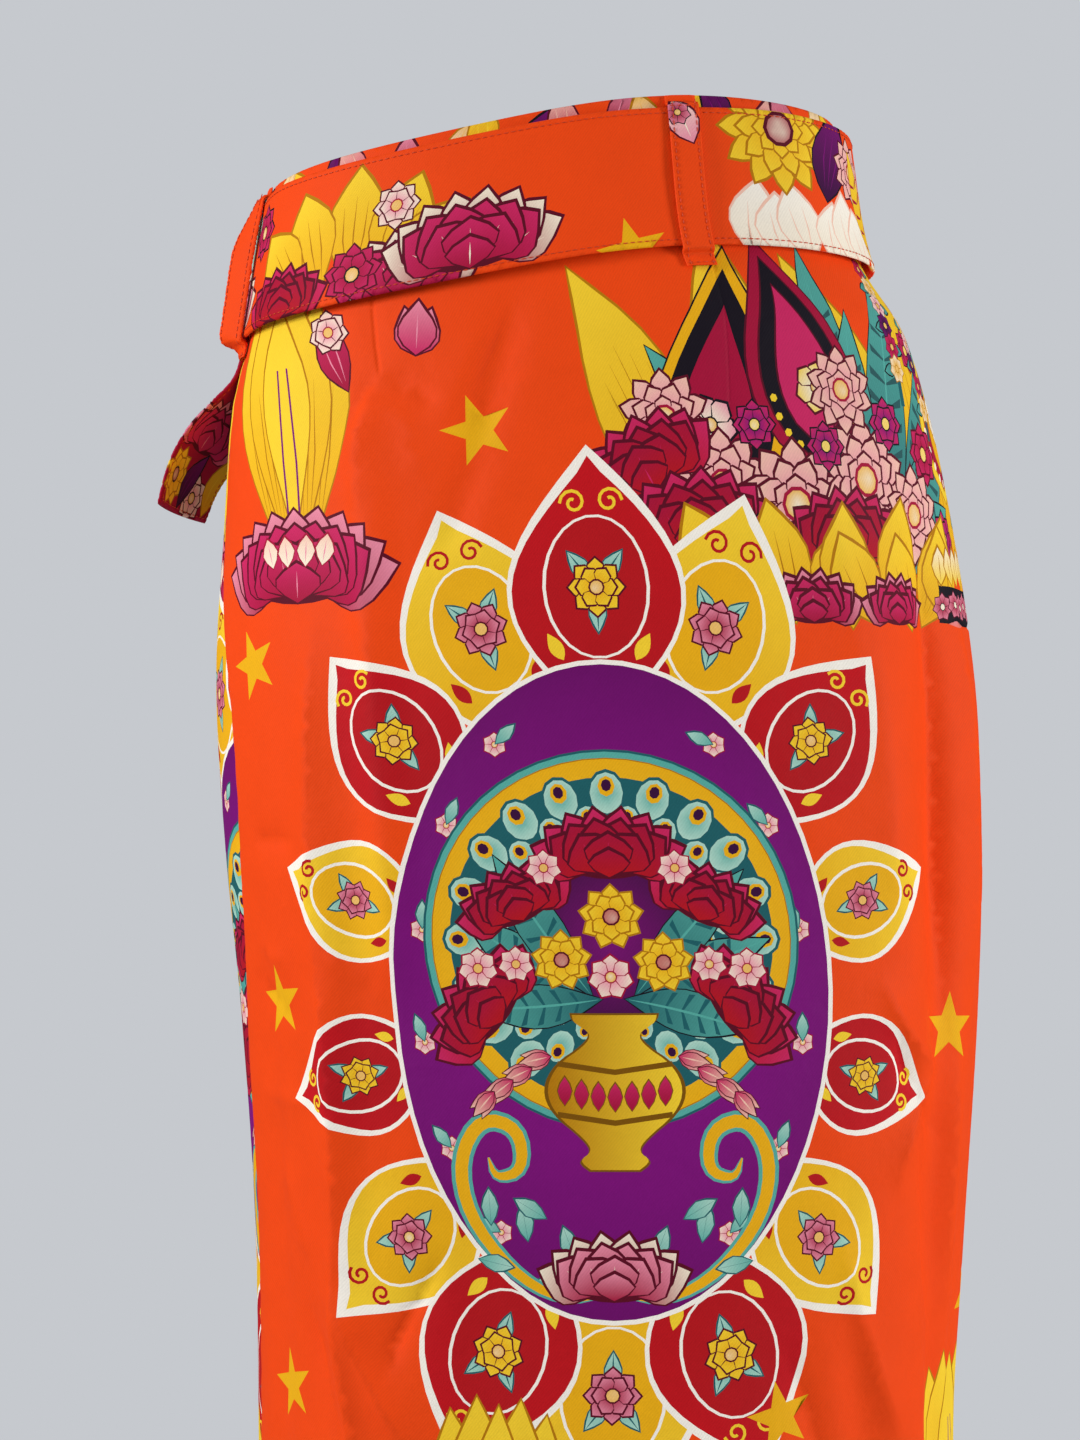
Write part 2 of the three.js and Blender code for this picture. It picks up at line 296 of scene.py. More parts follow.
def ring(angle, z):
    """On the plain body: the place, the level direction that points out of it, and mm for each degree."""
    turn = np.radians(angle)
    sin, cos = np.sin(turn), np.cos(turn)
    half_width = RING["half_width"](z)
    depth = RING["back"](z) + (RING["front"](z) - RING["back"](z)) * ease(cos, -0.35, 0.35)
    full = 1 + CORNER_FULLNESS * (1 - np.cos(4 * turn)) / 2
    x = RING["shift_x"](z) + half_width * full * sin
    arch = (round_turn(angle) - WAIST_ARCH["angle"]) / WAIST_ARCH["width"]
    lift = ease(z, WAIST_EASE_END, 0) * (WAIST_TILT * x + WAIST_ARCH["height"] * np.exp(-arch ** 2))
    out = np.stack([sin / half_width, -cos / depth, 0 * x], -1)
    out /= np.linalg.norm(out, axis=-1, keepdims=True)
    mm_per_degree = np.radians(np.hypot(half_width * cos, depth * sin))
    return np.stack([x, -depth * full * cos, z + lift], -1), out, mm_per_degree


def fold_rise(angle, z, mm_per_degree):
    rise = np.zeros(np.broadcast(angle, z).shape)
    for fold in FOLDS:
        down = (fold["top"] - z) / (fold["top"] - fold["bottom"])
        aside = round_turn(angle - (fold["from"] + (fold["to"] - fold["from"]) * down)) * mm_per_degree
        grows = ease(down, 0, FOLD_STARTS) * ease(1 - down, 0, FOLD_ENDS)
        rise += fold["rise"] * grows * np.exp(-((aside / fold["width"]) ** 2))
    return rise


def crease_rise(angle, z, mm_per_degree):
    """The finer creases. Each is a line with a rounded edge, whose sides fall away over its width."""
    rise = np.zeros(angle.shape)
    for crease in CREASES:
        (a0, z0), (a1, z1) = crease["start"], crease["end"]
        reach = crease["width"] * 3
        near = (z < max(z0, z1) + reach) & (z > min(z0, z1) - reach)
        near &= np.abs(round_turn(angle - (a0 + a1) / 2)) * mm_per_degree < abs(a1 - a0) * 1.6 + reach + 20
        if not near.any():
            continue
        scale = mm_per_degree[near]
        x = round_turn(angle[near] - a0) * scale
        y = z[near] - z0
        ex, ey = round_turn(a1 - a0) * scale, z1 - z0
        length = np.hypot(ex, ey)
        along = (x * ex + y * ey) / length ** 2
        aside = (x * ey - y * ex) / length - crease["bow"] * 4 * along * (1 - along)
        line = np.sqrt(aside ** 2 + crease["sharp"] ** 2) - crease["sharp"]
        fades = ease(along, -0.08, 0.3) * ease(1 - along, -0.08, 0.35)
        rise[near] += CREASING * crease["rise"] * fades * np.exp(-line / crease["width"])
    return rise


def dart_dip(angle, z, mm_per_degree):
    """Each dart is sewn on a fine line, in a shallow dip that closes at its tip."""
    dip = np.zeros(angle.shape)
    for dart in DARTS:
        (a0, z0), (a1, z1) = dart["top"], dart["tip"]
        along = (z - z0) / (z1 - z0)
        aside = round_turn(angle - (a0 + (a1 - a0) * along)) * mm_per_degree
        shown = ease(along, -0.1, 0) * ease(1 - along, 0, 0.15)
        dip -= shown * (0.45 * np.exp(-((aside / 0.8) ** 2)) + 0.5 * np.exp(-((aside / 5) ** 2)))
    return dip


def seam_dip(angle, z, mm_per_degree, lines):
    """Cloth draws in beside a sewn seam, with small uneven puckers along it."""
    dip = np.zeros(angle.shape)
    for line in lines:
        aside = np.abs(round_turn(angle - line(z))) * mm_per_degree
        pucker = 0.16 * np.sin(z / 2.6 + 1.7 * np.sin(z / 23)) * (0.6 + 0.4 * np.sin(z / 41 + 1))
        dip -= 0.35 * np.exp(-aside / 1.6) + pucker * np.exp(-((aside - 2) / 6) ** 2)
    dip -= 0.4 * np.exp(-np.abs(z) / 5)
    return dip


def body(angle, z, off, lines=()):
    """A place at a distance off the folded cloth. A panel gives its seams as lines, and is creased too."""
    place, out, scale = ring(angle, z)
    rise = fold_rise(angle, z, scale) + off
    if lines:
        rise += crease_rise(angle, z, scale) + dart_dip(angle, z, scale) + seam_dip(angle, z, scale, lines)
    return place + out * rise[:, None]


# ---------------- between the flat cloth and the body

LEVEL_STEP = 5.0
LEVELS = np.arange(75, -701, -LEVEL_STEP)
TURNS = np.arange(-176, 331, 1.0)


def girths():
    """For each level, the length round the body from angle 0 to each turn."""
    turn, level = np.meshgrid(TURNS, LEVELS)
    place = ring(turn, level)[0][..., :2]
    step = np.linalg.norm(np.diff(place, axis=1), axis=-1)
    total = np.concatenate([np.zeros((len(LEVELS), 1)), np.cumsum(step, axis=1)], axis=1)
    zero = int(np.argmin(np.abs(TURNS)))
    return total - total[:, zero:zero + 1]


GIRTH = girths()


def girth(angle, z):
    """The length round the body from angle 0, at a height."""
    row = np.clip((LEVELS[0] - z) / LEVEL_STEP, 0, len(LEVELS) - 1.001)
    column = np.clip(angle - TURNS[0], 0, len(TURNS) - 1.001)
    i, j = row.astype(int), column.astype(int)
    r, c = row - i, column - j
    upper = GIRTH[i, j] * (1 - c) + GIRTH[i, j + 1] * c
    lower = GIRTH[i + 1, j] * (1 - c) + GIRTH[i + 1, j + 1] * c
    return upper * (1 - r) + lower * r


def angle_at(u, z):
    """The angle whose girth is u, by Newton's steps from a first guess."""
    angle = u / 2.6
    for _ in range(12):
        step = girth(angle + 0.5, z) - girth(angle - 0.5, z)
        angle = np.clip(angle - (girth(angle, z) - u) / step, TURNS[0] + 1, TURNS[-1] - 1)
    return angle


# ---------------- drawing the print
# A drawing is a list of (outline, paint). Later ones cover earlier ones. Paint gives a colour at any place.


def plain(colour):
    tint = linear(colour)
    return lambda q: np.broadcast_to(tint, (len(q), 3))


def blend(low, high, share, power):
    """Paint that runs from one colour to another as the share of a place goes from 0 to 1."""
    a, b = linear(low), linear(high)

    def paint(q):
        t = np.clip(share(q), 0, 1)[:, None] ** power
        return a * (1 - t) + b * t

    return paint


def fade(low, high, start, end, power=1.0):
    """Runs from one colour at start to another at end."""
    start, way = np.array(start, float), np.subtract(end, start)
    return blend(low, high, lambda q: (q - start) @ way / (way @ way), power)


def glow(middle, rim, radius, power=1.0):
    """Runs from one colour at the middle to another at a radius."""
    return blend(middle, rim, lambda q: np.linalg.norm(q, axis=1) / radius, power)


def placed(drawing, x=0, y=0, turn=0, size=1.0, flip=1):
    """A drawing turned, scaled and moved. flip -1 mirrors it."""
    c, s = math.cos(math.radians(turn)), math.sin(math.radians(turn))
    forward = size * np.array([[c * flip, s * flip], [-s, c]])
    back = np.linalg.inv(forward)
    shift = np.array([x, y], float)
    return [(points @ forward + shift, lambda q, paint=paint: paint((q - shift) @ back))
            for points, paint in drawing]


def disc(radius, points=14, squash=1.0, at=(0, 0)):
    turn = np.linspace(0, 2 * math.pi, points, endpoint=False)
    return np.stack([radius * np.cos(turn), radius * squash * np.sin(turn)], 1) + at


def petal(length, width, belly=0.45, points=7, bend=0.0, inset=0.0):
    """A pointed petal from (0, 0) up to (0, length), widest at belly, bent sideways by bend."""
    t = np.linspace(0, 1, points + 1)[1:-1]
    power = math.log(0.5) / math.log(belly)
    half = np.maximum(width / 2 * np.sin(math.pi * t ** power) - inset, 0.15)
    low, high = inset * 1.2, length - inset * 2.2
    y = low + (high - low) * t
    side = bend * (y / length) ** 2
    right = np.stack([half + side, y], 1)
    left = np.stack([side - half, y], 1)[::-1]
    base, tip = [[bend * (low / length) ** 2, low]], [[bend * (high / length) ** 2, high]]
    return np.concatenate([base, right, tip, left])


def smooth(path, rounds=2):
    """Cuts the corners off a path."""
    path = np.array(path, float)
    for _ in range(rounds):
        near, far = path[:-1] * 0.75 + path[1:] * 0.25, path[:-1] * 0.25 + path[1:] * 0.75
        path = np.concatenate([path[:1], np.stack([near, far], 1).reshape(-1, 2)[1:-1], path[-1:]])
    return path


def stroke(path, width, taper=True):
    """A line of some width along a path of points, thinning to its ends."""
    path = np.array(path, float)
    way = np.gradient(path, axis=0)
    aside = np.stack([-way[:, 1], way[:, 0]], 1) / np.linalg.norm(way, axis=1, keepdims=True)
    t = np.linspace(0, 1, len(path))[:, None]
    half = width / 2 * (np.sqrt(np.clip(np.sin(math.pi * t), 0, 1)) * 0.9 + 0.1 if taper else 1)
    return np.concatenate([path + aside * half, (path - aside * half)[::-1]])


def arc(radius, start, end, points=10, at=(0, 0)):
    turn = np.radians(np.linspace(start, end, points))
    return np.stack([np.cos(turn), np.sin(turn)], 1) * radius + at


STAR_RADIUS = 16


def star(radius):
    """A star with five points."""
    turn = np.radians(90 + 36 * np.arange(10))
    reach = np.where(np.arange(10) % 2 == 0, radius, radius * 0.4)
    return [(np.stack([np.cos(turn), np.sin(turn)], 1) * reach[:, None], plain(GOLD))]


def drawn_petal(length, width, edge, low, high, belly=0.45, bend=0.0, veins=3, vein=None, points=7):
    """A petal with a dark edge, a body that fades from base to tip, and veins. Small ones are simpler."""
    points = int(min(points, 3 + length / 9))
    veins = int(min(veins, width / 6, length / 14))
    line = min(0.75, width * 0.06)
    drawing = [(petal(length, width, belly, points, bend), plain(edge)),
               (petal(length, width, belly, points, bend, line),
                fade(low, high, (0, 0), (bend, length * 0.95), 1.4))]
    for k in range(veins):
        lean = (k - (veins - 1) / 2) / max(veins, 1)
        t = np.linspace(0.14, 0.74 - 0.2 * abs(lean), 3)
        path = np.stack([lean * width * 0.62 * np.sin(math.pi * t * 0.8) + bend * t ** 2, length * t], 1)
        drawing.append((stroke(path, 0.7), plain(vein or high)))
    return drawing


def lotus(width, edge, low, high, tip, open_to=72, petals=8):
    """A lotus seen from the side: a fan of petals behind, a nearer row, and one petal in front."""
    length = width * 0.5
    drawing = [(disc(width * 0.3, 20, 0.36, (0, length * 0.2)), plain(edge))]
    rows = table(
        "count fan length width",
        (petals, open_to + 8, 1.0, 0.30),
        (petals - 2, open_to - 10, 0.84, 0.33),
        (petals - 5, open_to - 38, 0.66, 0.35),
    )
    for depth, row in enumerate(rows):
        for turn in sorted(np.linspace(-row["fan"], row["fan"], row["count"]), key=lambda a: -abs(a)):
            long = length * row["length"] * (1 - 0.1 * (turn / 90) ** 2)
            bend = -long * 0.22 * turn / 90
            end = high if depth else tip
            shape = drawn_petal(long, width * row["width"], edge, low, end, 0.55, bend, 3, tip)
            drawing += placed(shape, width * 0.12 * turn / 90, length * 0.12 * abs(turn) / 90, -turn)
    front = drawn_petal(length * 0.46, width * 0.3, edge, low, high, 0.5, 0, 3, tip)
    return drawing + placed(front, y=-length * 0.02)


def blossom(radius, count, edge, low, high, heart, heart_edge, rows=1):
    """A round open flower, with one or more rows of petals."""
    drawing = []
    for row in range(rows):
        reach = radius * (1 - 0.27 * row)
        for k in range(count - 2 * row):
            shape = drawn_petal(reach, reach * 5.2 / (count - 2 * row), edge, low, high, 0.62, 0, 0, low, 6)
            drawing += placed(shape, turn=360 / (count - 2 * row) * (k + 0.5 * row))
    drawing.append((disc(radius * 0.27, 10), plain(heart_edge)))
    drawing.append((disc(radius * 0.21, 10), glow(CREAM, heart, radius * 0.25)))
    return drawing


def leaf(length, width, edge, low, high, bend=0.0, bars=0, bar=None):
    """A leaf with a midrib. Bars are dark slanting bands, as on a banana leaf."""
    points = int(min(9, 3 + length / 9))
    drawing = [
        (petal(length, width, 0.5, points, bend), plain(edge)),
        (petal(length, width, 0.5, points, bend, 0.5), fade(low, high, (0, 0), (bend, length), 1.0)),
    ]
    for k in range(bars):
        t = 0.2 + 0.62 * k / bars
        reach = width * 0.4 * math.sin(math.pi * t ** 0.95)
        for side in (-1, 1):
            root = np.array([bend * t ** 2, length * t])
            band = [root, root + (side * reach, reach * 0.55), root + (side * reach * 0.96, reach * 0.2)]
            drawing.append((np.array(band + [root - (0, 0.9)]), plain(bar)))
    if length > 16:
        t = np.linspace(0.04, 0.93, points - 2)
        drawing.append((stroke(np.stack([bend * t ** 2, length * t], 1), 1.0), plain(high if bars else edge)))
    return drawing


def paisley(size, edge, band, core, seed, dots):
    """A mango shape: a drop bent at its tip, in nested bands, with dots between them."""
    drawing = []
    for inset, colour in ((0.0, edge), (0.02, band), (0.13, edge), (0.15, core), (0.3, edge), (0.32, seed)):
        long = size * (1 - inset * 1.15)
        shape = petal(long, size * 0.62 * (1 - inset * 1.5), 0.36, 12, size * 0.34 * (1 - inset))
        drawing.append((shape + (0, size * inset * 0.42), plain(colour)))
    for k in range(9):
        turn = math.radians(200 + 140 * k / 8)
        at = (size * 0.225 * math.cos(turn), size * 0.36 + size * 0.27 * math.sin(turn))
        drawing.append((disc(size * 0.018, 6, at=at), plain(dots)))
    return drawing + placed(blossom(size * 0.12, 6, edge, CREAM, dots, GOLD, edge), y=size * 0.36)


def scroll(radius, width, colour):
    """A thin curl."""
    t = np.linspace(0, 1, 17)
    turn = t * 1.3 * 2 * math.pi
    path = np.stack([np.cos(turn), np.sin(turn)], 1) * (radius * (1 - 0.8 * t))[:, None]
    return [(stroke(path, width, False), plain(colour))]


def bud(length, width, edge, low, high):
    """A closed bud of three overlapping petals."""
    drawing = []
    for turn, long, wide in ((-15, 0.9, 0.52), (15, 0.9, 0.52), (0, 1, 0.6)):
        shape = drawn_petal(length * long, width * wide, edge, low, high, 0.42, 0, 3, high, 8)
        drawing += placed(shape, turn=turn)
    return drawing


def vase(height, edge, low, high):
    """A round-bellied pot with two bands and a row of drops between them."""
    profile = [(0.0, 0.16), (0.06, 0.24), (0.12, 0.15), (0.2, 0.2), (0.36, 0.4), (0.52, 0.46), (0.68, 0.38),
               (0.8, 0.2), (0.88, 0.15), (0.95, 0.27), (1.0, 0.28)]
    side = smooth([(wide * height, up * height) for up, wide in profile])
    pot = np.concatenate([side, (side * (-1, 1))[::-1]])
    shrink = np.array([1 - 1.6 / (height * 0.46), 1 - 1.6 / height])
    shine = fade(low, high, (-0.4 * height, 0), (0.4 * height, 0))
    drawing = [(pot, plain(edge)), (pot * shrink + (0, 0.8), shine)]
    for up in (0.36, 0.68):
        band = [(-0.36 * height, up * height), (0, (up - 0.05) * height), (0.36 * height, up * height)]
        drawing.append((stroke(band, height * 0.035, False), plain(edge)))
    for k in range(-3, 4):
        drop = drawn_petal(height * 0.2, height * 0.1, edge, CRIMSON, MAGENTA, 0.5, 0, 0)
        drawing += placed(drop, k * height * 0.105, height * (0.41 - 0.012 * (9 - k * k) / 3))
    return drawing


def feathers(radius_in, radius_out, rings, count):
    """Rings of overlapping eyed scallops, as on a tail of plumes."""
    drawing = []
    for row in range(rings):
        reach = radius_out - (radius_out - radius_in) * row / rings
        for k in range(count):
            turn = 360 / count * (k + 0.5 * (row % 2))
            at = arc(reach, turn, turn + 1, 2)[0]
            size = reach * 2.6 / count
            plume = [
                (disc(size, 12, 1.25), plain(SEA)),
                (disc(size * 0.86, 12, 1.25), glow(TEAL, MINT, size)),
                (disc(size * 0.45, 8, 1.2, (0, size * 0.35)), plain(GOLD)),
                (disc(size * 0.27, 8, 1.2, (0, size * 0.4)), plain(PLUM)),
            ]
            drawing += placed(plume, *at, turn=turn - 90)
    return drawing


MEDALLION = {"half_width": 149, "half_height": 224, "field_width": 94, "field_height": 138, "petals": 14,
             "line": 2}


def strewn(motifs, start=0):
    """Motifs drawn one over another. Each has rows of a place, a turn and what its function takes first, then
    that function and the rest of what it takes."""
    return [part for rows, make, *rest in motifs for x, y, turn, *sizes in rows
            for part in placed(make(*sizes, *rest), start + x, y, turn)]


def bouquet():
    """Lotuses, small flowers and leaves in a gold pot."""
    fronds = [(side * x, -20, -side * turn, length)
              for x, turn, length in ((10, 62, 62), (8, 38, 72), (4, 100, 56)) for side in (-1, 1)]
    lotuses = [(-46, -30, 52, 58), (46, -30, -52, 58), (-36, 12, 24, 50), (36, 12, -24, 50), (0, 30, 0, 60)]
    small = [(-56, -8, 0, 9), (56, -8, 0, 9), (-1, -11, 0, 10), (-27, 34, 0, 8), (27, 34, 0, 8),
             (-40, -6, 0, 8), (40, -6, 0, 8)]
    buds = [(side * (26 + 8 * k), -44 - 5 * k, -side * (104 + 12 * k), 15)
            for side in (-1, 1) for k in range(4)]
    return strewn([
        (fronds, leaf, 19, *FROND, 5, 5, SEA),
        (lotuses, lotus, *RUBY),
        ([(-21, -4, 0, 13), (21, -5, 0, 13), (0, 14, 0, 14)], blossom, 9, *GOLDEN, RED, WINE, 2),
        (small, blossom, 7, *POSY),
        (buds, bud, 11, WINE, MAGENTA, BLUSH),
        ([(0, -92, 0, 66)], vase, OCHRE, AMBER, YELLOW),
    ])


def medallion_petal(turn, red):
    """One petal of the rosette, with a hoop, a flower, three leaves and a pair of curls on it."""
    m = MEDALLION
    ray = arc(1, turn, turn + 1, 2)[0]
    rim = ray * (m["field_width"] * 0.8, m["field_height"] * 0.8)
    way = ray * (m["half_width"], m["half_height"]) - rim
    middle = rim + way * 0.5
    long, lean = float(np.hypot(*way)), math.degrees(math.atan2(-way[0], way[1]))
    wide = 2 * math.pi * math.hypot(*rim) / m["petals"] * 1.5
    low, high, sign = (RED, "#c9121d", YELLOW) if red else (GOLD, YELLOW, RED)
    shape = [(petal(long, wide, 0.48, 16), plain(WHITE)),
             (petal(long, wide, 0.48, 16, 0, m["line"]), fade(low, high, (0, 0), (0, long)))]
    hoop = [(disc(wide * 0.3, 26, 1.3), plain(WHITE)), (disc(wide * 0.3 - 1.4, 26, 1.34), plain(low))]
    drawing = placed(shape, *rim, lean) + placed(hoop, *middle, lean)
    for side in (-38, 38, 180):
        drawing += placed(leaf(wide * 0.26, wide * 0.11, *SPRIG), *middle, lean + side)
    for side in (-1, 1):
        aside = np.array([way[1], -way[0]]) / long * side
        curl = scroll(wide * 0.075, 1.3, sign)
        drawing += placed(curl, *(rim + way * 0.8 + aside * wide * 0.1), lean, flip=side)
        drop = [(petal(wide * 0.17, wide * 0.08), plain(sign))]
        drawing += placed(drop, *(rim + way * 0.24 + aside * wide * 0.2), lean - side * 30)
    flower = blossom(wide * 0.17, 8, WINE, *((GOLD, YELLOW) if red else (CRIMSON, PINK)), GOLD, WINE, 2)
    return drawing + placed(flower, *middle, lean)


def medallion():
    """A tall rosette: a ring of pointed petals round a purple field with a ring of plumes and a bouquet."""
    m = MEDALLION
    line, wide, tall = m["line"], m["field_width"], m["field_height"]
    drawing = []
    for k in sorted(range(m["petals"]), key=lambda k: k % 2):
        drawing += medallion_petal(360 / m["petals"] * (k + 0.5), k % 2)
    drawing.append((disc(wide, 64, tall / wide), plain(WHITE)))
    field = disc(wide - line, 64, (tall - line) / (wide - line))
    drawing.append((field, glow("#860f80", "#6c0a66", tall, 2)))
    for side in (-1, 1):
        for k in range(7):
            turn = math.radians(-76 + 22 * k)
            at = (side * (wide - 13) * math.cos(turn), (tall - 14) * math.sin(turn))
            drawing += placed(blossom(5.5, 6, *POSY), *at)
            drawing += placed(leaf(13, 6, *SPRIG), *at, turn=math.degrees(turn) * side + 10)
    hoops = ((79, plain(SEA)), (78, plain(TEAL)), (75.5, plain(AMBER)), (75, glow(YELLOW, GOLD, 75)),
             (67.5, plain(SEA)))
    drawing += placed([(disc(radius, 52), paint) for radius, paint in hoops], y=22)
    drawing += placed(feathers(26, 61, 3, 20), y=22)
    drawing += placed([(disc(36, 28), plain(PLUM)), (disc(35, 28), glow(PURPLE, PLUM, 40))], y=22)
    for side in (-1, 1):
        stem = [(4, -126), (22, -128), (44, -116), (62, -94), (66, -70), (56, -52), (40, -56), (38, -74),
                (50, -78), (53, -69)]
        route = smooth(stem) * (side, 1)
        drawing += [(stroke(route, 9), plain(TEAL)), (stroke(route, 5.6), plain(GOLD))]
        for x, y, turn in ((16, -112, 20), (36, -104, 10), (52, -98, 4), (28, -94, 60), (58, -112, -100)):
            drawing += placed(leaf(17, 8, *SPRIG), side * x, y, -side * turn)
    return drawing + placed(lotus(60, WINE, CRIMSON, PINK, CREAM), y=-128) + placed(bouquet(), y=18)


def tall_bud():
    """A tall golden bud that stands on an open crimson lotus."""
    sheath = [(-9, 0, 7, 128, 34), (9, 0, -7, 128, 34), (-4.5, 0, 3, 134, 36), (4.5, 0, -3, 134, 36)]
    drawing = strewn([
        (sheath, drawn_petal, *GOLDEN, 0.6, 0, 5, AMBER, 12),
        ([(0, 0, 0, 130)], drawn_petal, 30, AMBER, YELLOW, YELLOW, 0.62, 0, 0, AMBER, 12),
    ])
    drawing += [(stroke([(x, 12), (x * 1.3, 50), (x, 96)], 1.1, False), plain(PURPLE)) for x in (-3, 3)]
    tips = [(x, -2, -x, 17) for x in (-14, -5, 5, 14)]
    return drawing + strewn([
        ([(0, -18, 0, 92)], lotus, *ROSE, PINK, 80, 11),
        (tips, drawn_petal, 11, CRIMSON, CREAM, BLUSH, 0.5, 0, 1, PINK),
    ])


def garland(length, step=9):
    """A hanging string of flowers and leaves."""
    drawing = [(stroke([(0, 0), (1, -length / 2), (0, -length)], 3, False), plain(SEA))]
    for k in range(int(length / step)):
        edge, low, high = (ROSE, (AMBER, GOLD, CREAM), (WINE, PINK, CREAM), NIGHT)[k % 4]
        drawing += placed(leaf(11, 6, *FROND), 0, -k * step, 100 if k % 2 else -100)
        drawing += placed(blossom(step * 0.72, 7, edge, low, high, GOLD, edge), math.sin(k * 1.7), -k * step)
    return drawing


def garden():
    """Fronds, mango shapes and flowers, massed above a bed of gold petals."""
    plumes = [(50, 0, 20, 150, 40), (66, 0, 2, 156, 44), (150, 0, 22, 152, 46), (176, 0, 6, 168, 48),
              (196, 0, -4, 168, 46), (210, 0, -14, 150, 44)]
    fronds = [(92, 14, 40, 112), (104, 14, 24, 124), (116, 14, 8, 132), (128, 14, -8, 128),
              (140, 14, -24, 112), (126, 14, -44, 92), (100, 14, 58, 84), (120, 14, -62, 72),
              (112, 14, -2, 104)]
    drawing = strewn([
        (plumes, drawn_petal, *GOLDEN, 0.5, 0, 5, AMBER, 12),
        (fronds, leaf, 27, *FROND, 6, 8, "#2d5a5c"),
        ([(190, 44, -6, 96)], paisley, AMBER, YELLOW, CRIMSON, GOLD, CREAM),
        ([(58, 34, 14, 104)], paisley, INK, GOLD, INK, CRIMSON, PINK),
    ])
    drawing += placed(paisley(92, WINE, CRIMSON, INK, MAGENTA, YELLOW), 92, 52, -12, flip=-1)
    crimson = [(164, 62, 0, 13), (218, 92, 0, 12), (168, 104, 0, 10), (212, 128, 0, 11)]
    pink = [(30, 74, 0, 20), (52, 48, 0, 22), (84, 40, 0, 26), (120, 50, 0, 25), (112, 84, 0, 18),
            (150, 38, 0, 20)]
    purple = [(100, 62, 0, 10), (136, 72, 0, 11), (68, 70, 0, 10), (176, 30, 0, 12), (66, 26, 0, 11)]
    bed = [(30 + 12.5 * k, -8 + 2 * (k % 3), (k * 2 % 5 - 2) * 12, 50 - 10 * (k % 2)) for k in range(12)]
    drawing += strewn([
        (crimson, blossom, 8, *ROSE, YELLOW, WINE, 2),
        (pink, blossom, 10, *BLUSHING, 3),
        ([(24, 46, 26, 62), (40, 22, 6, 66), (108, 18, 0, 60)], lotus, *RUBY),
        (purple, blossom, 8, INK, PURPLE, MAGENTA, YELLOW, INK, 2),
        (bed, drawn_petal, 27, *GOLDEN, 0.5, 0, 3, AMBER),
    ])
    drawing.append((stroke([(164, 4), (196, 3), (232, 4)], 15, False), plain(INK)))
    for k in range(8):
        drawing += placed(blossom(6, 7, WINE, CRIMSON, PINK, CREAM, INK), 166 + 9 * k, 3 + k % 2)
        drawing += placed(drawn_petal(17, 12, AMBER, YELLOW, CREAM, 0.5, 0, 1, AMBER), 166 + 9 * k, 11)
    return drawing + strewn([
        ([(52, -5, 0, 40), (88, -5, 0, 44), (132, -5, 0, 42)], lotus, *ROSE, PINK),
        ([(206, 120, 0, 104), (176, 126, 0, 58), (152, 140, 0, 60), (226, 100, 0, 80)], garland),
    ])


def skirt_print():
    """The print of the front panel, in mm from the body's front and down from the waist seam."""
    stars = [(-44, -69, 12), (-163, -167, 20), (-157, -313, 8), (-154, -481, 15), (171, -326, -4),
             (72, -483, 12), (206, -452, 30), (-102, -560, 0), (120, -590, 20), (-160, -640, 12),
             (222, -206, 8), (50, -634, 8)]
    drawing = strewn([
        ([(4, -146, 0)], garden),
        ([(-133, -122, 0)], tall_bud),
        ([(-98, -44, 20, 40)], drawn_petal, 17, *ROSE, 0.5, 5, 3, PINK),
        ([(-104, -14, 0, 11)], blossom, 7, *PALE, 2),
        ([(-66, -33, -14, 27)], bud, 30, WINE, MAGENTA, PINK),
        ([(0, -304, 0)], medallion),
    ])
    for x, y in ((-48, -588), (190, -586)):
        drawing += placed(tall_bud(), x, y, size=0.86)
    for x in (-190, 30):
        drawing += placed(garden(), x, -760, size=0.8)
    return drawing + strewn([(stars, star, STAR_RADIUS)])


def back_print():
    """The print of each back panel, in mm from the panel's middle and down from the waist seam."""
    stars = [(-84, -44, 10), (-8, -200, 0), (0, -290, 25), (4, -390, 14), (70, -560, 6), (-4, -470, -8),
             (60, -60, 20), (100, -610, 0), (-110, -640, 10)]
    drawing = strewn([
        ([(-96, -160, 0)], garden),
        ([(100, -128, 0)], tall_bud),
        ([(166, -330, 0), (-160, -392, 0)], medallion),
    ])
    drawing += placed(garden(), -40, -640, size=0.85) + placed(tall_bud(), -60, -640, size=0.9)
    return drawing + strewn([(stars, star, STAR_RADIUS)])


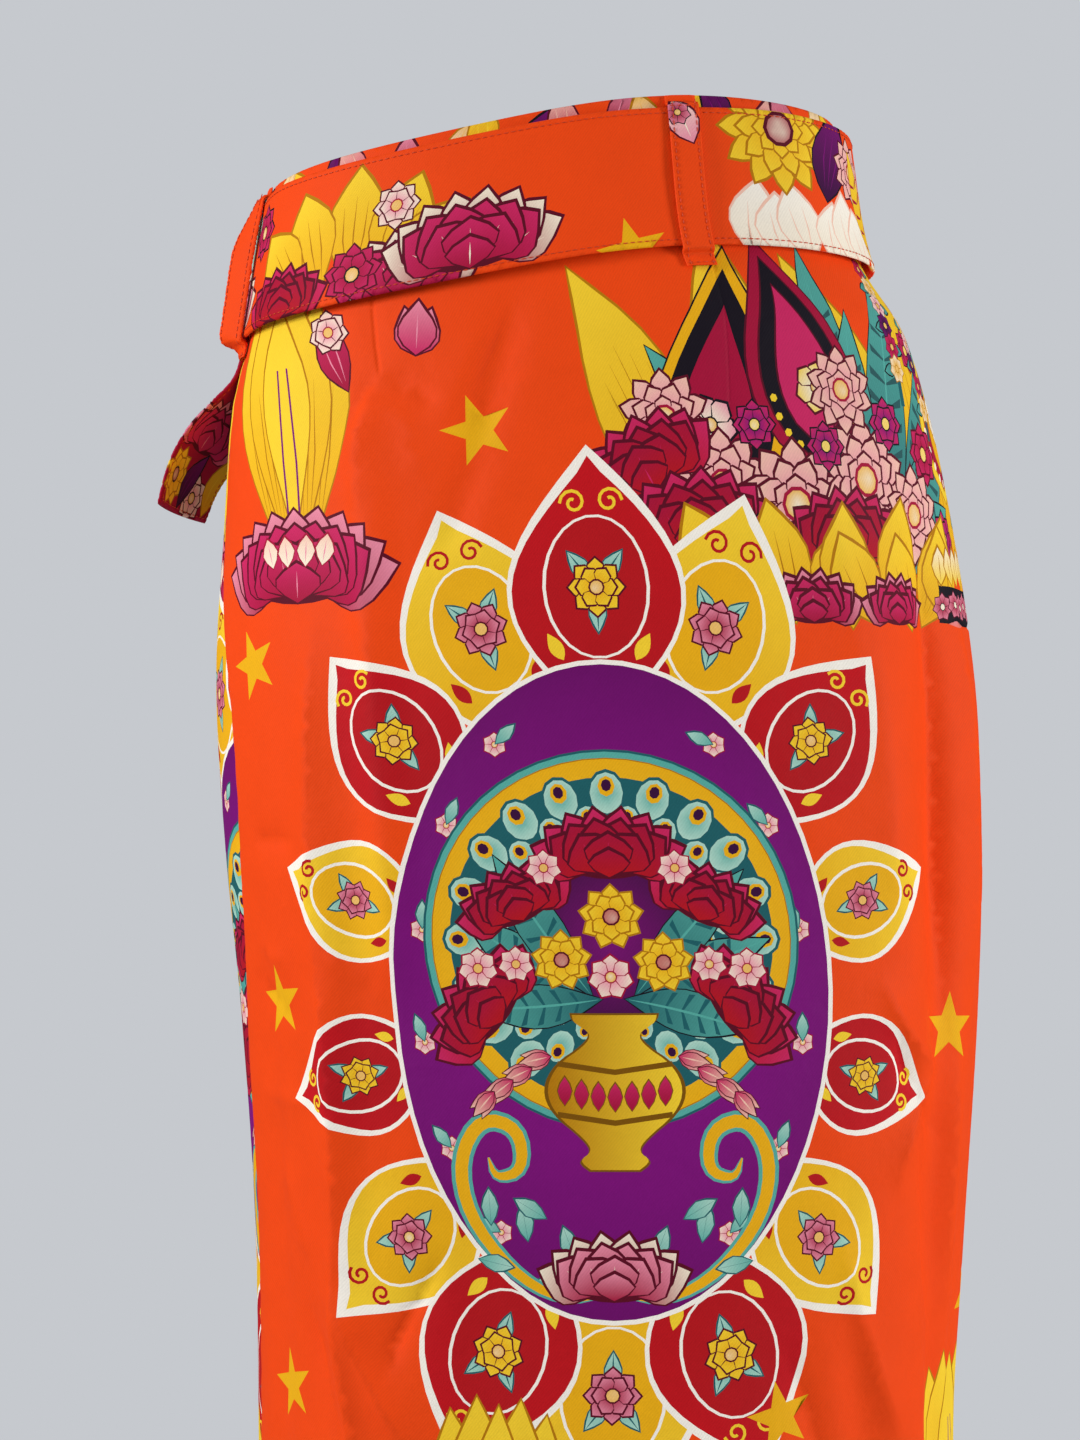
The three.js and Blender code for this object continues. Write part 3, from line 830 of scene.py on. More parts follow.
def belt_print():
    """The belt is cut along the cloth, so that motifs lie at its edges and run over them."""
    fan = [(-84, 2, 4, 54), (-98, 2, 22, 50), (-72, 2, -16, 48), (-108, 2, 44, 44), (-62, 2, -38, 40)]
    white = [(80 + 14 * k, -10, (k % 3 - 1) * 10, 38 - 6 * (k % 2)) for k in range(7)]
    motifs = [
        (fan, drawn_petal, 28, *GOLDEN, 0.55, 4, 4, AMBER),
        ([(-122, -4, 0, 50)], lotus, *RUBY),
        ([(-60, -6, 0, 60), (-34, 0, 0, 70)], lotus, *ROSE, CREAM),
        ([(-84, 8, 0, 14)], blossom, 9, *ROSE, GOLD, INK, 2),
        ([(-66, 34, 0, 11)], blossom, 8, *PALE, 2),
        ([(-146, 40, 0, 13)], blossom, 8, INK, CRIMSON, MAGENTA, GOLD, INK, 2),
        ([(30, -4, 10, 15)], star),
        (white, drawn_petal, 24, BLUSH, CREAM, WHITE, 0.5, 0, 2, BLUSH),
        ([(100, 50, 0, 30)], blossom, 12, *GOLDEN, CRIMSON, WINE, 3),
        ([(124, 20, -14, 50)], drawn_petal, 26, *NIGHT, 0.45, 8),
        ([(150, 38, 0, 17)], blossom, 10, *BLUSHING, 3),
        ([(168, -4, 24, 56), (184, -4, 0, 56), (200, -4, -24, 56)], leaf, 18, *GOLDEN, 5, 5, CRIMSON),
        ([(232, 62, 0, 10)], feathers, 34, 3, 14),
        ([(248, 2, 0, 58)], lotus, WINE, CRIMSON, PINK, CREAM),
    ]
    return [part for start in (-426, 0, 400) for part in strewn(motifs, start)]


def waistband_print():
    """Petals of many colours, upright in a row."""
    paints = [GOLDEN, (WINE, CRIMSON, PINK), NIGHT, (AMBER, CREAM, GOLD), (WINE, MAGENTA, BLUSH)]
    rows = [[(-390 + 18 * k, 44, (k * 37 % 70) - 35, 24 + 5 * (k % 3))] for k in range(44)]
    return strewn([(row, drawn_petal, 15, *paints[k * 7 % 5]) for k, row in enumerate(rows)])


def tail_print():
    """The print of the belt's tail, in mm from its near edge and down along it."""
    return strewn([
        ([(48, -50, 4, 70)], drawn_petal, 44, ORANGE, ORANGE, RED, 0.5),
        ([(26, -74, 0, 64)], lotus, WINE, MAGENTA, MAGENTA, PINK),
        ([(13, -90, 0, 15)], blossom, 9, *GOLDEN, CRIMSON, INK, 2),
        ([(40, -96, 0, 13)], blossom, 8, WINE, PINK, CREAM, GOLD, INK, 2),
        ([(26, -104, -20, 34)], drawn_petal, 14, *NIGHT, 0.5),
        ([(54, -104, -8, 40)], drawn_petal, 18, *GOLDEN, 0.5),
    ])


def loop_print(name):
    """The front loop is cut where motifs fall on it."""
    if name != "belt_loop_front":
        return []
    return strewn([([(3, -26, 20, 24)], drawn_petal, 14, WINE, PINK, CREAM),
                   ([(-3, -12, 0, 6)], blossom, 7, INK, CRIMSON, PINK, GOLD, INK)])


# ---------------- making cloth

GRID = 5.4  # mm between the mesh's own points, between the print's outlines
REVERSE_GRID = 6.5  # the same on the wrong side
REVERSE = 0.22  # how much paler the wrong side of the silk is


def inside(points, outline):
    """Which points lie inside a closed outline: those with an odd number of its edges to their right."""
    order = np.argsort(points[:, 1])
    x, y = points[order].T
    odd = np.zeros(len(points), bool)
    for (x0, y0), (x1, y1) in zip(outline, np.roll(outline, -1, axis=0)):
        if y0 != y1:
            low, high = np.searchsorted(y, sorted((y0, y1)))
            odd[low:high] ^= x[low:high] < (x1 - x0) * (y[low:high] - y0) / (y1 - y0) + x0
    result = np.empty(len(points), bool)
    result[order] = odd
    return result


def topmost(points, drawing):
    """Which outline of a drawing lies uppermost at each point, or -1 where none does."""
    order = np.argsort(points[:, 0])
    across = points[order, 0]
    found = np.full(len(points), -1)
    for which, (outline, _) in enumerate(drawing):
        low, high = outline.min(0), outline.max(0)
        near = order[np.searchsorted(across, low[0]):np.searchsorted(across, high[0])]
        near = near[(points[near, 1] > low[1]) & (points[near, 1] < high[1])]
        found[near[inside(points[near], outline)]] = which
    return found


def painted(points, which, drawing, ground):
    """The colour of each point, where it is known which outline covers it."""
    colours = np.empty((len(points), 3))
    colours[:] = linear(ground)
    order = np.argsort(which, kind="stable")
    numbers, starts = np.unique(which[order], return_index=True)
    for number, rows in zip(numbers, np.split(order, starts[1:])):
        if number >= 0:
            colours[rows] = drawing[number][1](points[rows])
    return colours


def hex_grid(outline, spacing):
    """Points on a hexagonal grid inside an outline, clear of its edge."""
    low, high = outline.min(0), outline.max(0)
    grid = []
    for i, y in enumerate(np.arange(low[1], high[1], spacing * 0.866)):
        row = np.arange(low[0] + spacing / 2 * (i % 2), high[0], spacing)
        grid.append(np.stack([row, np.full(len(row), y)], 1))
    grid = np.concatenate(grid)
    grid = grid[inside(grid, outline)]
    nearest = np.full(len(grid), np.inf)
    for start, finish in zip(outline, np.roll(outline, -1, axis=0)):
        way = finish - start
        t = np.clip((grid - start) @ way / (way @ way), 0, 1)
        nearest = np.minimum(nearest, np.linalg.norm(grid - start - t[:, None] * way, axis=1))
    return grid[nearest > spacing * 0.45]


def triangulate(points, edges, outline):
    """The triangles between some points, along some edges, as far as they lie inside an outline."""
    result = delaunay_2d_cdt(points.tolist(), edges.tolist(), [], 0, 0.005, False)
    flat = np.array([tuple(point) for point in result[0]])
    triangles = np.array(result[2])
    triangles = triangles[inside(flat[triangles].mean(1), outline)]
    used, triangles = np.unique(triangles, return_inverse=True)
    triangles, flat = triangles.reshape(-1, 3), flat[used]
    a, b, c = (flat[triangles[:, k]] for k in range(3))
    area = (b[:, 0] - a[:, 0]) * (c[:, 1] - a[:, 1]) - (b[:, 1] - a[:, 1]) * (c[:, 0] - a[:, 0])
    triangles[area < 0] = triangles[area < 0][:, ::-1]
    return flat, triangles, np.abs(area).sum() / 2


def sides(triangles):
    """Each triangle's three edges, in the order that its corners have."""
    return np.concatenate([triangles[:, [0, 1]], triangles[:, [1, 2]], triangles[:, [2, 0]]])


def ring_edges(start, count):
    index = np.arange(count)
    return np.stack([index, (index + 1) % count], 1) + start


def cut_print(outline, drawing, spacing, extra):
    """Cuts the flat cloth along the print's outlines, so far as they show. Gives the flat points, the
    triangles, the outline that paints each triangle, and the area."""
    loops = [outline] + [points for points, _ in drawing]
    starts = np.cumsum([0] + [len(loop) for loop in loops])
    edges = np.concatenate([ring_edges(start, len(loop)) for start, loop in zip(starts, loops)])
    flat, triangles, _ = triangulate(np.concatenate(loops), edges, outline)
    painter = topmost(flat[triangles].mean(1), drawing)
    edges = np.sort(sides(triangles), axis=1)
    order = np.lexsort(edges.T)
    edges, painter = edges[order], np.tile(painter, 3)[order]
    twin = (edges[1:] == edges[:-1]).all(1)
    hidden = np.zeros(len(edges), bool)
    hidden[:-1] |= twin & (painter[1:] == painter[:-1])
    hidden[1:] |= hidden[:-1] & twin
    edges = edges[~hidden]
    used, edges = np.unique(edges, return_inverse=True)
    grid = np.concatenate([hex_grid(outline, spacing), *extra])
    flat, triangles, area = triangulate(np.concatenate([flat[used], grid]), edges.reshape(-1, 2), outline)
    return flat, triangles, topmost(flat[triangles].mean(1), drawing), area


def normals(place, flat):
    """The outward direction of a surface. The flat cloth's first axis runs towards +X at the front, and its
    second runs up."""
    step = 0.12
    across = place(flat + (step, 0)) - place(flat - (step, 0))
    upward = place(flat + (0, step)) - place(flat - (0, step))
    out = np.cross(across, upward)
    return out / np.linalg.norm(out, axis=1, keepdims=True)


def new_object(name, data):
    piece = bpy.data.objects.new(name, data)
    bpy.context.collection.objects.link(piece)
    return piece


def cloth(name, outline, drawing, place, material, extra=(), spacing=GRID, sewn=(),
          doubled=False, ground=ORANGE):
    """A closed shell of cloth that takes the place of a solid. place(flat, side) gives its outer side for 1
    and its inner side for -1. Doubled cloth has the print on both sides."""
    low, high = outline.min(0), outline.max(0)
    drawing = [part for part in drawing if (part[0].max(0) > low).all() and (part[0].min(0) < high).all()]
    flat, triangles, painter, area = cut_print(outline, drawing, spacing, extra)
    count = len(flat)
    edges = sides(triangles)
    known = set(map(tuple, edges.tolist()))
    rim = np.array([edge for edge in edges.tolist() if (edge[1], edge[0]) not in known])
    border, rim_again = np.unique(rim, return_inverse=True)
    back, back_triangles, match = flat, triangles, np.arange(count) + count
    if not doubled:
        points = np.concatenate([flat[border], hex_grid(outline, max(spacing, REVERSE_GRID)), *extra])
        back, back_triangles, _ = triangulate(points, rim_again.reshape(-1, 2), outline)
        nearest = KDTree(len(back))
        for i, (x, y) in enumerate(back.tolist()):
            nearest.insert((x, y, 0), i)
        nearest.balance()
        match[border] = [nearest.find((x, y, 0))[1] + count for x, y in flat[border].tolist()]
    a, b = rim.T
    faces = np.concatenate([triangles, back_triangles[:, ::-1] + count, np.stack([b, a, match[a]], 1),
                            np.stack([b, match[a], match[b]], 1)])
    front_colours = painted(flat[triangles].reshape(-1, 2), np.repeat(painter, 3), drawing, ground)
    at_point = np.empty((count + len(back), 3))
    at_point[triangles.ravel()] = front_colours
    at_point[count:] = painted(back, topmost(back, drawing), drawing, ground) * (1 - REVERSE) + REVERSE * 0.7
    at_point[match[border]] = at_point[border]
    colours = np.concatenate([front_colours, at_point[faces[len(triangles):].ravel()]])
    if doubled:
        turned = front_colours.reshape(-1, 3, 3)[:, ::-1].reshape(-1, 3)
        colours[len(turned):2 * len(turned)] = turned
    mesh = bpy.data.meshes.new(name + "_silk")
    mesh.from_pydata((np.concatenate([place(flat, 1), place(back, -1)]) * MM).tolist(), [], faces.tolist())
    tint = mesh.color_attributes.new("print", "FLOAT_COLOR", "CORNER")
    colours = np.column_stack([colours, np.ones(len(colours))])
    tint.data.foreach_set("color", colours.astype(np.float32).ravel())
    layout = mesh.uv_layers.new(name="cloth")
    corners = np.concatenate([flat, back])[faces.ravel()] * MM
    layout.uv.foreach_set("vector", corners.astype(np.float32).ravel())
    mesh.shade_smooth()
    outward = normals(lambda q: place(q, 1), flat)
    inward = -normals(lambda q: place(q, -1), back)
    mesh.normals_split_custom_set_from_vertices(np.concatenate([outward, inward]).tolist())
    mesh.materials.append(material)
    piece = new_object(name + "_silk", mesh)
    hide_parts(name)
    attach(piece, ROOT)
    wide, long = (math.ceil(size * 10) / 10 * MM for size in np.ptp(flat, axis=0))
    if sewn:
        topstitch(name, place, sewn)


# ---------------- materials


def add_node(tree, kind, links=(), **settings):
    """Adds a node, sets its properties or else its inputs by name, and links sockets into it."""
    node = tree.nodes.new(kind)
    for key, value in settings.items():
        if hasattr(node, key) and key not in node.inputs:
            setattr(node, key, value)
        else:
            node.inputs[key.replace("__", " ")].default_value = value
    for socket, source in links:
        tree.links.new(source, node.inputs[socket])
    return node


def blank_tree(block):
    """The emptied node tree of a material or a world."""
    block.use_nodes = True
    block.node_tree.nodes.clear()
    return block.node_tree


def spread(tree, value, low, high):
    """A value from 0 to 1, spread between two others."""
    return add_node(tree, "ShaderNodeMapRange", [("Value", value)], To__Min=low, To__Max=high).outputs[0]


def noise(tree, where, **settings):
    return add_node(tree, "ShaderNodeTexNoise", [("Vector", where)], **settings).outputs["Fac"]


RIB = 1.1  # mm between the twill's ribs
WAVE = 0.31416  # the distance between a wave texture's bands at a scale of 1


def silk_twill(name, roughness, cockled):
    """Printed silk twill: a soft broad sheen, fine diagonal ribs and small soft cockles in the cloth."""
    material = bpy.data.materials.new(name)
    tree = blank_tree(material)
    flat = add_node(tree, "ShaderNodeUVMap", uv_map="cloth").outputs["UV"]
    colour = add_node(tree, "ShaderNodeVertexColor", layer_name="print").outputs["Color"]
    diagonal, millimetres = (add_node(tree, "ShaderNodeMapping", [("Vector", flat)], Rotation=(0, 0, turn),
                                      Scale=(1 / MM, 1 / MM, 1 / MM)).outputs["Vector"]
                             for turn in (math.radians(38), 0))
    ribs = add_node(tree, "ShaderNodeTexWave", [("Vector", diagonal)], wave_type="BANDS", bands_direction="X",
                    Scale=WAVE / RIB, Distortion=1.6, Detail=2.0, Detail__Scale=1.5).outputs["Fac"]
    cloudy = noise(tree, millimetres, Scale=0.045, Detail=4.0, Roughness=0.6)
    speckle = noise(tree, millimetres, Scale=0.9, Detail=2.0)
    cockles = noise(tree, millimetres, Scale=0.075, Detail=3.0, Roughness=0.5, Distortion=0.3)
    woven = spread(tree, cloudy, 0.93, 1.06)
    for tone in (spread(tree, ribs, 0.965, 1.03), spread(tree, speckle, 0.95, 1.05)):
        woven = add_node(tree, "ShaderNodeMath", [(0, woven), (1, tone)], operation="MULTIPLY").outputs[0]
    dyed = add_node(tree, "ShaderNodeVectorMath", [(0, colour), ("Scale", woven)], operation="SCALE")
    soft = add_node(tree, "ShaderNodeBump", [("Height", cockles)], Strength=0.5 * cockled, Distance=1.2 * MM)
    fine = add_node(tree, "ShaderNodeBump", [("Height", ribs), ("Normal", soft.outputs[0])], Strength=0.25,
                    Distance=0.12 * MM)
    sheen = spread(tree, speckle, roughness - 0.05, roughness + 0.06)
    links = [("Base Color", dyed.outputs[0]), ("Roughness", sheen), ("Normal", fine.outputs[0])]
    shader = add_node(tree, "ShaderNodeBsdfPrincipled", links, IOR=1.45, Specular__IOR__Level=0.12)
    add_node(tree, "ShaderNodeOutputMaterial", [("Surface", shader.outputs[0])])
    return material


def polyester_thread(name, colour):
    """Sewing thread: a smooth twisted cord with a faint satin gloss."""
    material = bpy.data.materials.new(name)
    tree = blank_tree(material)
    twist = noise(tree, add_node(tree, "ShaderNodeTexCoord").outputs["Object"], Scale=900, Detail=1.0)
    dye = add_node(tree, "ShaderNodeMix", [("Factor", twist)], data_type="RGBA")
    for socket, share in ((6, 0.7), (7, 1.15)):
        dye.inputs[socket].default_value = (*(linear(colour) * share), 1)
    shader = add_node(tree, "ShaderNodeBsdfPrincipled", [("Base Color", dye.outputs[2])], Roughness=0.45,
                      IOR=1.45)
    add_node(tree, "ShaderNodeOutputMaterial", [("Surface", shader.outputs[0])])
    return material


# ---------------- topstitching

STITCH = {"Pitch": 3.1 * MM, "Stitch Length": 2.5 * MM, "Thread": 0.5 * MM}
STITCH_PROUD = 0.3  # how far a stitch's middle stands off the cloth, as a share of the thread
STITCH_INSET = 2.6
LOOP_STITCH_INSET = 1.7


def stitch_nodes():
    """Geometry nodes that lay a short round stitch at every pitch along a line."""
    tree = bpy.data.node_groups.new("topstitching", "GeometryNodeTree")
    sockets = [("Line", "Geometry"), *((name, "Float") for name in STITCH), ("Material", "Material")]
    for name, kind in sockets:
        tree.interface.new_socket(name, in_out="INPUT", socket_type="NodeSocket" + kind)
    tree.interface.new_socket("Stitches", in_out="OUTPUT", socket_type="NodeSocketGeometry")

    def node(kind, *links, **settings):
        return add_node(tree, kind, links, **settings).outputs

    given = node("NodeGroupInput")
    line = node("GeometryNodeMeshToCurve", ("Mesh", given["Line"]))[0]
    spots = node("GeometryNodeCurveToPoints", ("Curve", line), ("Length", given["Pitch"]), mode="LENGTH")
    along = node("FunctionNodeAlignRotationToVector", ("Vector", spots["Tangent"]), axis="X")[0]
    size = node("ShaderNodeCombineXYZ", ("X", given["Stitch Length"]), ("Y", given["Thread"]),
                ("Z", given["Thread"]))[0]
    uneven = add_node(tree, "FunctionNodeRandomValue", data_type="FLOAT_VECTOR", Seed=7)
    uneven.inputs["Min"].default_value = (0.88, 0.9, 0.9)
    uneven.inputs["Max"].default_value = (1.04, 1.1, 1.1)
    size = node("ShaderNodeVectorMath", (0, size), (1, uneven.outputs["Value"]), operation="MULTIPLY")[0]
    thread = node("GeometryNodeMeshUVSphere", Segments=6, Rings=4, Radius=0.5)["Mesh"]
    laid = node("GeometryNodeInstanceOnPoints", ("Points", spots["Points"]), ("Instance", thread),
                ("Rotation", along), ("Scale", size))[0]
    solid = node("GeometryNodeRealizeInstances", ("Geometry", laid))[0]
    rounded_off = node("GeometryNodeSetShadeSmooth", ("Geometry", solid))[0]
    dyed = node("GeometryNodeSetMaterial", ("Geometry", rounded_off), ("Material", given["Material"]))[0]
    node("NodeGroupOutput", ("Stitches", dyed))
    return tree


def topstitch(name, place, paths):
    """Rows of stitches along paths on the flat cloth, sunk a little into it."""
    points, edges = [], []
    for path in paths:
        path = np.array(path, float)
        steps = np.linalg.norm(np.diff(path, axis=0), axis=1)
        along = np.concatenate([[0], np.cumsum(steps)])
        t = np.linspace(0, along[-1], max(2, int(along[-1] / 2)))
        flat = np.stack([np.interp(t, along, path[:, k]) for k in (0, 1)], 1)
        rows = place(flat, 1) + normals(lambda q: place(q, 1), flat) * STITCH["Thread"] / MM * STITCH_PROUD
        start = sum(len(row) for row in points)
        edges += [(start + i, start + i + 1) for i in range(len(rows) - 1)]
        points.append(rows)
    lines = bpy.data.meshes.new(name + "_lines")
    lines.from_pydata((np.concatenate(points) * MM).tolist(), edges, [])
    guide = new_object(name + "_lines", lines)
    modifier = guide.modifiers.new("topstitching", "NODES")
    modifier.node_group = STITCHING
    for socket in STITCHING.interface.items_tree:
        if socket.in_out == "INPUT" and socket.name in STITCH:
            modifier[socket.identifier] = STITCH[socket.name]
        elif socket.name == "Material":
            modifier[socket.identifier] = THREAD
    ready = guide.evaluated_get(bpy.context.evaluated_depsgraph_get())
    stitches = bpy.data.meshes.new_from_object(ready)
    bpy.data.objects.remove(guide)
    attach(new_object(name + "_topstitching", stitches), ROOT)


STITCHING = stitch_nodes()
THREAD = polyester_thread("orange_polyester_thread", "#d8430f")


# ---------------- the pieces

TWILL = silk_twill("printed_silk_twill", 0.62, 1.0)
BANDED = silk_twill("stiffened_silk_twill", 0.64, 0.6)


def strip_outline(low, high, spacing=GRID):
    """A rectangle with points along its edges."""
    (x0, y0), (x1, y1) = low, high
    across = np.linspace(x0, x1, max(2, int((x1 - x0) / spacing) + 1))
    up = np.linspace(y0, y1, max(2, int((y1 - y0) / spacing) + 1))
    return np.array([(x, y0) for x in across[:-1]] + [(x1, y) for y in up[:-1]]
                    + [(x, y1) for x in across[:0:-1]] + [(x0, y) for y in up[:0:-1]])


EDGE_ROWS = (0.12, 0.4, 0.9, 1.6)  # rows of points beside a thick edge, so that it rounds over


def edge_rows(low, high, spacing=GRID, upright=False):
    """Points in rows close beside the two long edges of a strip."""
    axis = 1 if upright else 0
    along = np.arange(low[axis] + 1.7, high[axis] - 1.7, spacing * 0.8)
    rows = []
    for distance in EDGE_ROWS:
        for edge, way in ((low[1 - axis], 1), (high[1 - axis], -1)):
            row = np.full(len(along), edge + way * distance)
            rows.append(np.stack([row, along] if upright else [along, row], 1))
    return rows


def rounded(distance, thickness):
    """The share of its thickness that a strip keeps at a distance from its edge."""
    t = 1 - np.clip(distance / (thickness / 2), 0, 1)
    return 0.2 + 0.8 * np.sqrt(1 - t * t)


def panel_outline(left, right, middle):
    """A skirt panel laid flat: down the left seam, along the hem, up the right seam and along the waist."""
    heights = np.linspace(-SEAM_GAP, -SKIRT_DROP, int(SKIRT_DROP / GRID))
    trim = SEAM_GAP / 2
    centre = girth(middle, heights)
    down = np.stack([girth(left(heights), heights) - centre + trim, heights], 1)
    up = np.stack([girth(right(heights), heights) - centre - trim, heights], 1)
    steps = int((up[-1, 0] - down[-1, 0]) / GRID)
    hem = down[-1] + np.linspace(0, 1, steps)[1:-1, None] * (up[-1] - down[-1])
    waist = up[0] + np.linspace(0, 1, steps)[1:-1, None] * (down[0] - up[0])
    return np.concatenate([down, hem, up[::-1], waist])


def beside(line, distance, middle):
    """Points along a seam, a little way in from it."""
    heights = np.linspace(-3, -SKIRT_DROP + 3, int(SKIRT_DROP / (GRID * 0.8)))
    centre = girth(middle, heights)
    return np.stack([girth(line(heights), heights) - centre + distance, heights], 1)


# A crease that rises this much has rows of points along it, at these distances.
FIRM = {"rise": 1.3, "rows": (-5, -2.5, 0, 2.5, 5)}
DEEP = {"rise": 2.5, "rows": (-15, -12, -9, -6.5, -4.5, -3, -1.5, 0, 1.5, 3, 4.5, 6.5, 9, 12)}


def crease_points(middle, outline):
    """Rows of points along the firmer creases, so that each has a clean line."""
    rows = []
    for crease in CREASES:
        if abs(crease["rise"]) < FIRM["rise"]:
            continue
        (a0, z0), (a1, z1) = crease["start"], crease["end"]
        t = np.linspace(0, 1, 2 + int(abs(z1 - z0) / 7 + abs(a1 - a0) / 4))
        z = z0 + (z1 - z0) * t
        path = np.stack([girth(a0 + (a1 - a0) * t, z) - girth(middle, z), z], 1)
        way = path[-1] - path[0]
        aside = np.array([way[1], -way[0]]) / np.hypot(*way)
        for distance in (DEEP if abs(crease["rise"]) > DEEP["rise"] else FIRM)["rows"]:
            rows.append(path + aside * (crease["bow"] * 4 * t * (1 - t) + distance)[:, None])
    points = np.concatenate(rows)
    low, high = outline.min(0) + 4, outline.max(0) - 4
    points = points[((points > low) & (points < high)).all(1)]
    return points[inside(points, outline)]


def panel(name, left, right, middle, drawing, extra=()):
    """A panel of the skirt, whose flat cloth is measured from a line at the angle middle."""
    rows = [beside(left, d, middle) for d in (0.9, 2.4)] + [beside(right, -d, middle) for d in (0.9, 2.4)]

    def place(flat, side):
        z = flat[:, 1]
        angle = angle_at(flat[:, 0] + girth(middle, z), z)
        return body(angle, z, side * CLOTH / 2, (left, right))

    outline = panel_outline(left, right, middle)
    hem = outline[np.abs(outline[:, 1] + SKIRT_DROP) < 0.01]
    rows = [*rows, *extra, crease_points(middle, outline)]
    cloth(name, outline, drawing, place, TWILL, rows,
          sewn=[[(hem[:, 0].min() + 2, HEM_ROW), (hem[:, 0].max() - 2, HEM_ROW)]])


def dart_points():
    """Points along each dart and close beside it, so that its dip has an edge."""
    rows = []
    for dart in DARTS:
        (a0, z0), (a1, z1) = dart["top"], dart["tip"]
        t = np.linspace(0.02, 1, int(abs(z1 - z0) / 2.2))
        for aside in (-2.0, -0.8, 0, 0.8, 2.0):
            z = z0 + (z1 - z0) * t
            rows.append(np.stack([girth(a0 + (a1 - a0) * t, z) + aside, z], 1))
    return rows


HEM_ROW = -SKIRT_DROP + 18
BAND_LEVEL = 27.5  # the height at which the belt and the waistband are measured round


def waistband():
    """A doubled band that is open at the centre back."""
    seam = SEAMS[0]["back"]
    ends = girth(np.array([seam - 360.0, seam]), BAND_LEVEL)
    low, high = (ends[0] + SEAM_GAP / 2, 0), (ends[1] - SEAM_GAP / 2, WAISTBAND_HEIGHT)

    def place(flat, side):
        angle = angle_at(flat[:, 0], BAND_LEVEL)
        edge = np.minimum(high[1] - flat[:, 1], flat[:, 1])
        return body(angle, flat[:, 1], side * BAND / 2 * rounded(edge, BAND))

    cloth("waistband", strip_outline(low, high), waistband_print(), place, BANDED,
          edge_rows(low, high), doubled=True)


def belt_stand_off(angle):
    """The belt lies loose between its loops, and stands off over its own tucked end."""
    nearest = np.min([np.abs(round_turn(angle - held_at)) for held_at in LOOPS.values()], axis=0)
    turn = angle % 360
    tucked = ease(turn, *TAIL_RISE) * (1 - ease(turn, *TAIL_FALL))
    return np.maximum(BELT_SLACK * ease(nearest, *BELT_DRAWN_IN), TAIL_SLACK * tucked)


def belt():
    """A wide belt once round, whose ends meet under the back loop."""
    meet = LOOPS["belt_loop_back"]
    ends = girth(np.array([meet - 360.0, meet]), BAND_LEVEL)
    low, high = (ends[0] + 0.05, -BELT_BELOW_SEAM), (ends[1] - 0.05, BELT_HEIGHT - BELT_BELOW_SEAM)

    def place(flat, side):
        angle = angle_at(flat[:, 0], BAND_LEVEL)
        down = (high[1] - flat[:, 1]) / BELT_HEIGHT
        edge = np.minimum(high[1] - flat[:, 1], flat[:, 1] - low[1])
        middle = BAND / 2 + BELT_CLEAR + belt_stand_off(angle) * (1 + (LOW_EDGE_SLACK - 1) * down) + BELT / 2
        return body(angle, flat[:, 1], middle + side * BELT / 2 * rounded(edge, BELT))

    rows = [[(low[0] + 1, y), (high[0] - 1, y)] for y in (low[1] + STITCH_INSET, high[1] - STITCH_INSET)]
    cloth("belt", strip_outline(low, high), belt_print(), place, BANDED, edge_rows(low, high),
          sewn=rows)


TAIL_SIZE = (61, 106)  # the tail laid flat: across the strip and along it


def tail():
    """The belt's free end, whose two edges run through the near and far points of the table."""
    parts = ("_angle", "_z", "_out")
    rows = [{"z": -i, **{end + part: row[end][k] for end in ("near", "far") for k, part in enumerate(parts)}}
            for i, row in enumerate(TAIL)]
    track = {key: curve(rows, key) for key in rows[0] if key != "z"}
    wide, long = TAIL_SIZE

    def middle(flat):
        down = np.clip(-flat[:, 1] / long, 0, 1) * (len(TAIL) - 1)
        across = flat[:, 0] / wide
        angle, z, out = (track["near" + part](-down) * (1 - across) + track["far" + part](-down) * across
                         for part in parts)
        return body(angle, z, out)

    def place(flat, side):
        edge = np.minimum(np.minimum(flat[:, 0], wide - flat[:, 0]), long + flat[:, 1])
        inner = np.clip(flat, (0.2, 0.2 - long), (wide - 0.2, -0.2))
        off = side * TAIL_THICK / 2 * rounded(edge, TAIL_THICK)
        return middle(flat) + normals(middle, inner) * off[:, None]

    low, high = (0, -long), (wide, 0)
    inset = STITCH_INSET
    row = [(inset, -40), (inset, inset - long), (wide - inset, inset - long), (wide - inset, -40)]
    cloth("belt_tail", strip_outline(low, high, 3), tail_print(), place, BANDED,
          edge_rows(low, high, 3, upright=True), 3.5, [row], doubled=True, ground=CRIMSON)


# How far a loop's back edge stands off the belt: the tucked tail beside it turns the left one outwards.
LOOP_LIFT = {"belt_loop_left": 8.5}
LOOP_GRID = 2.2


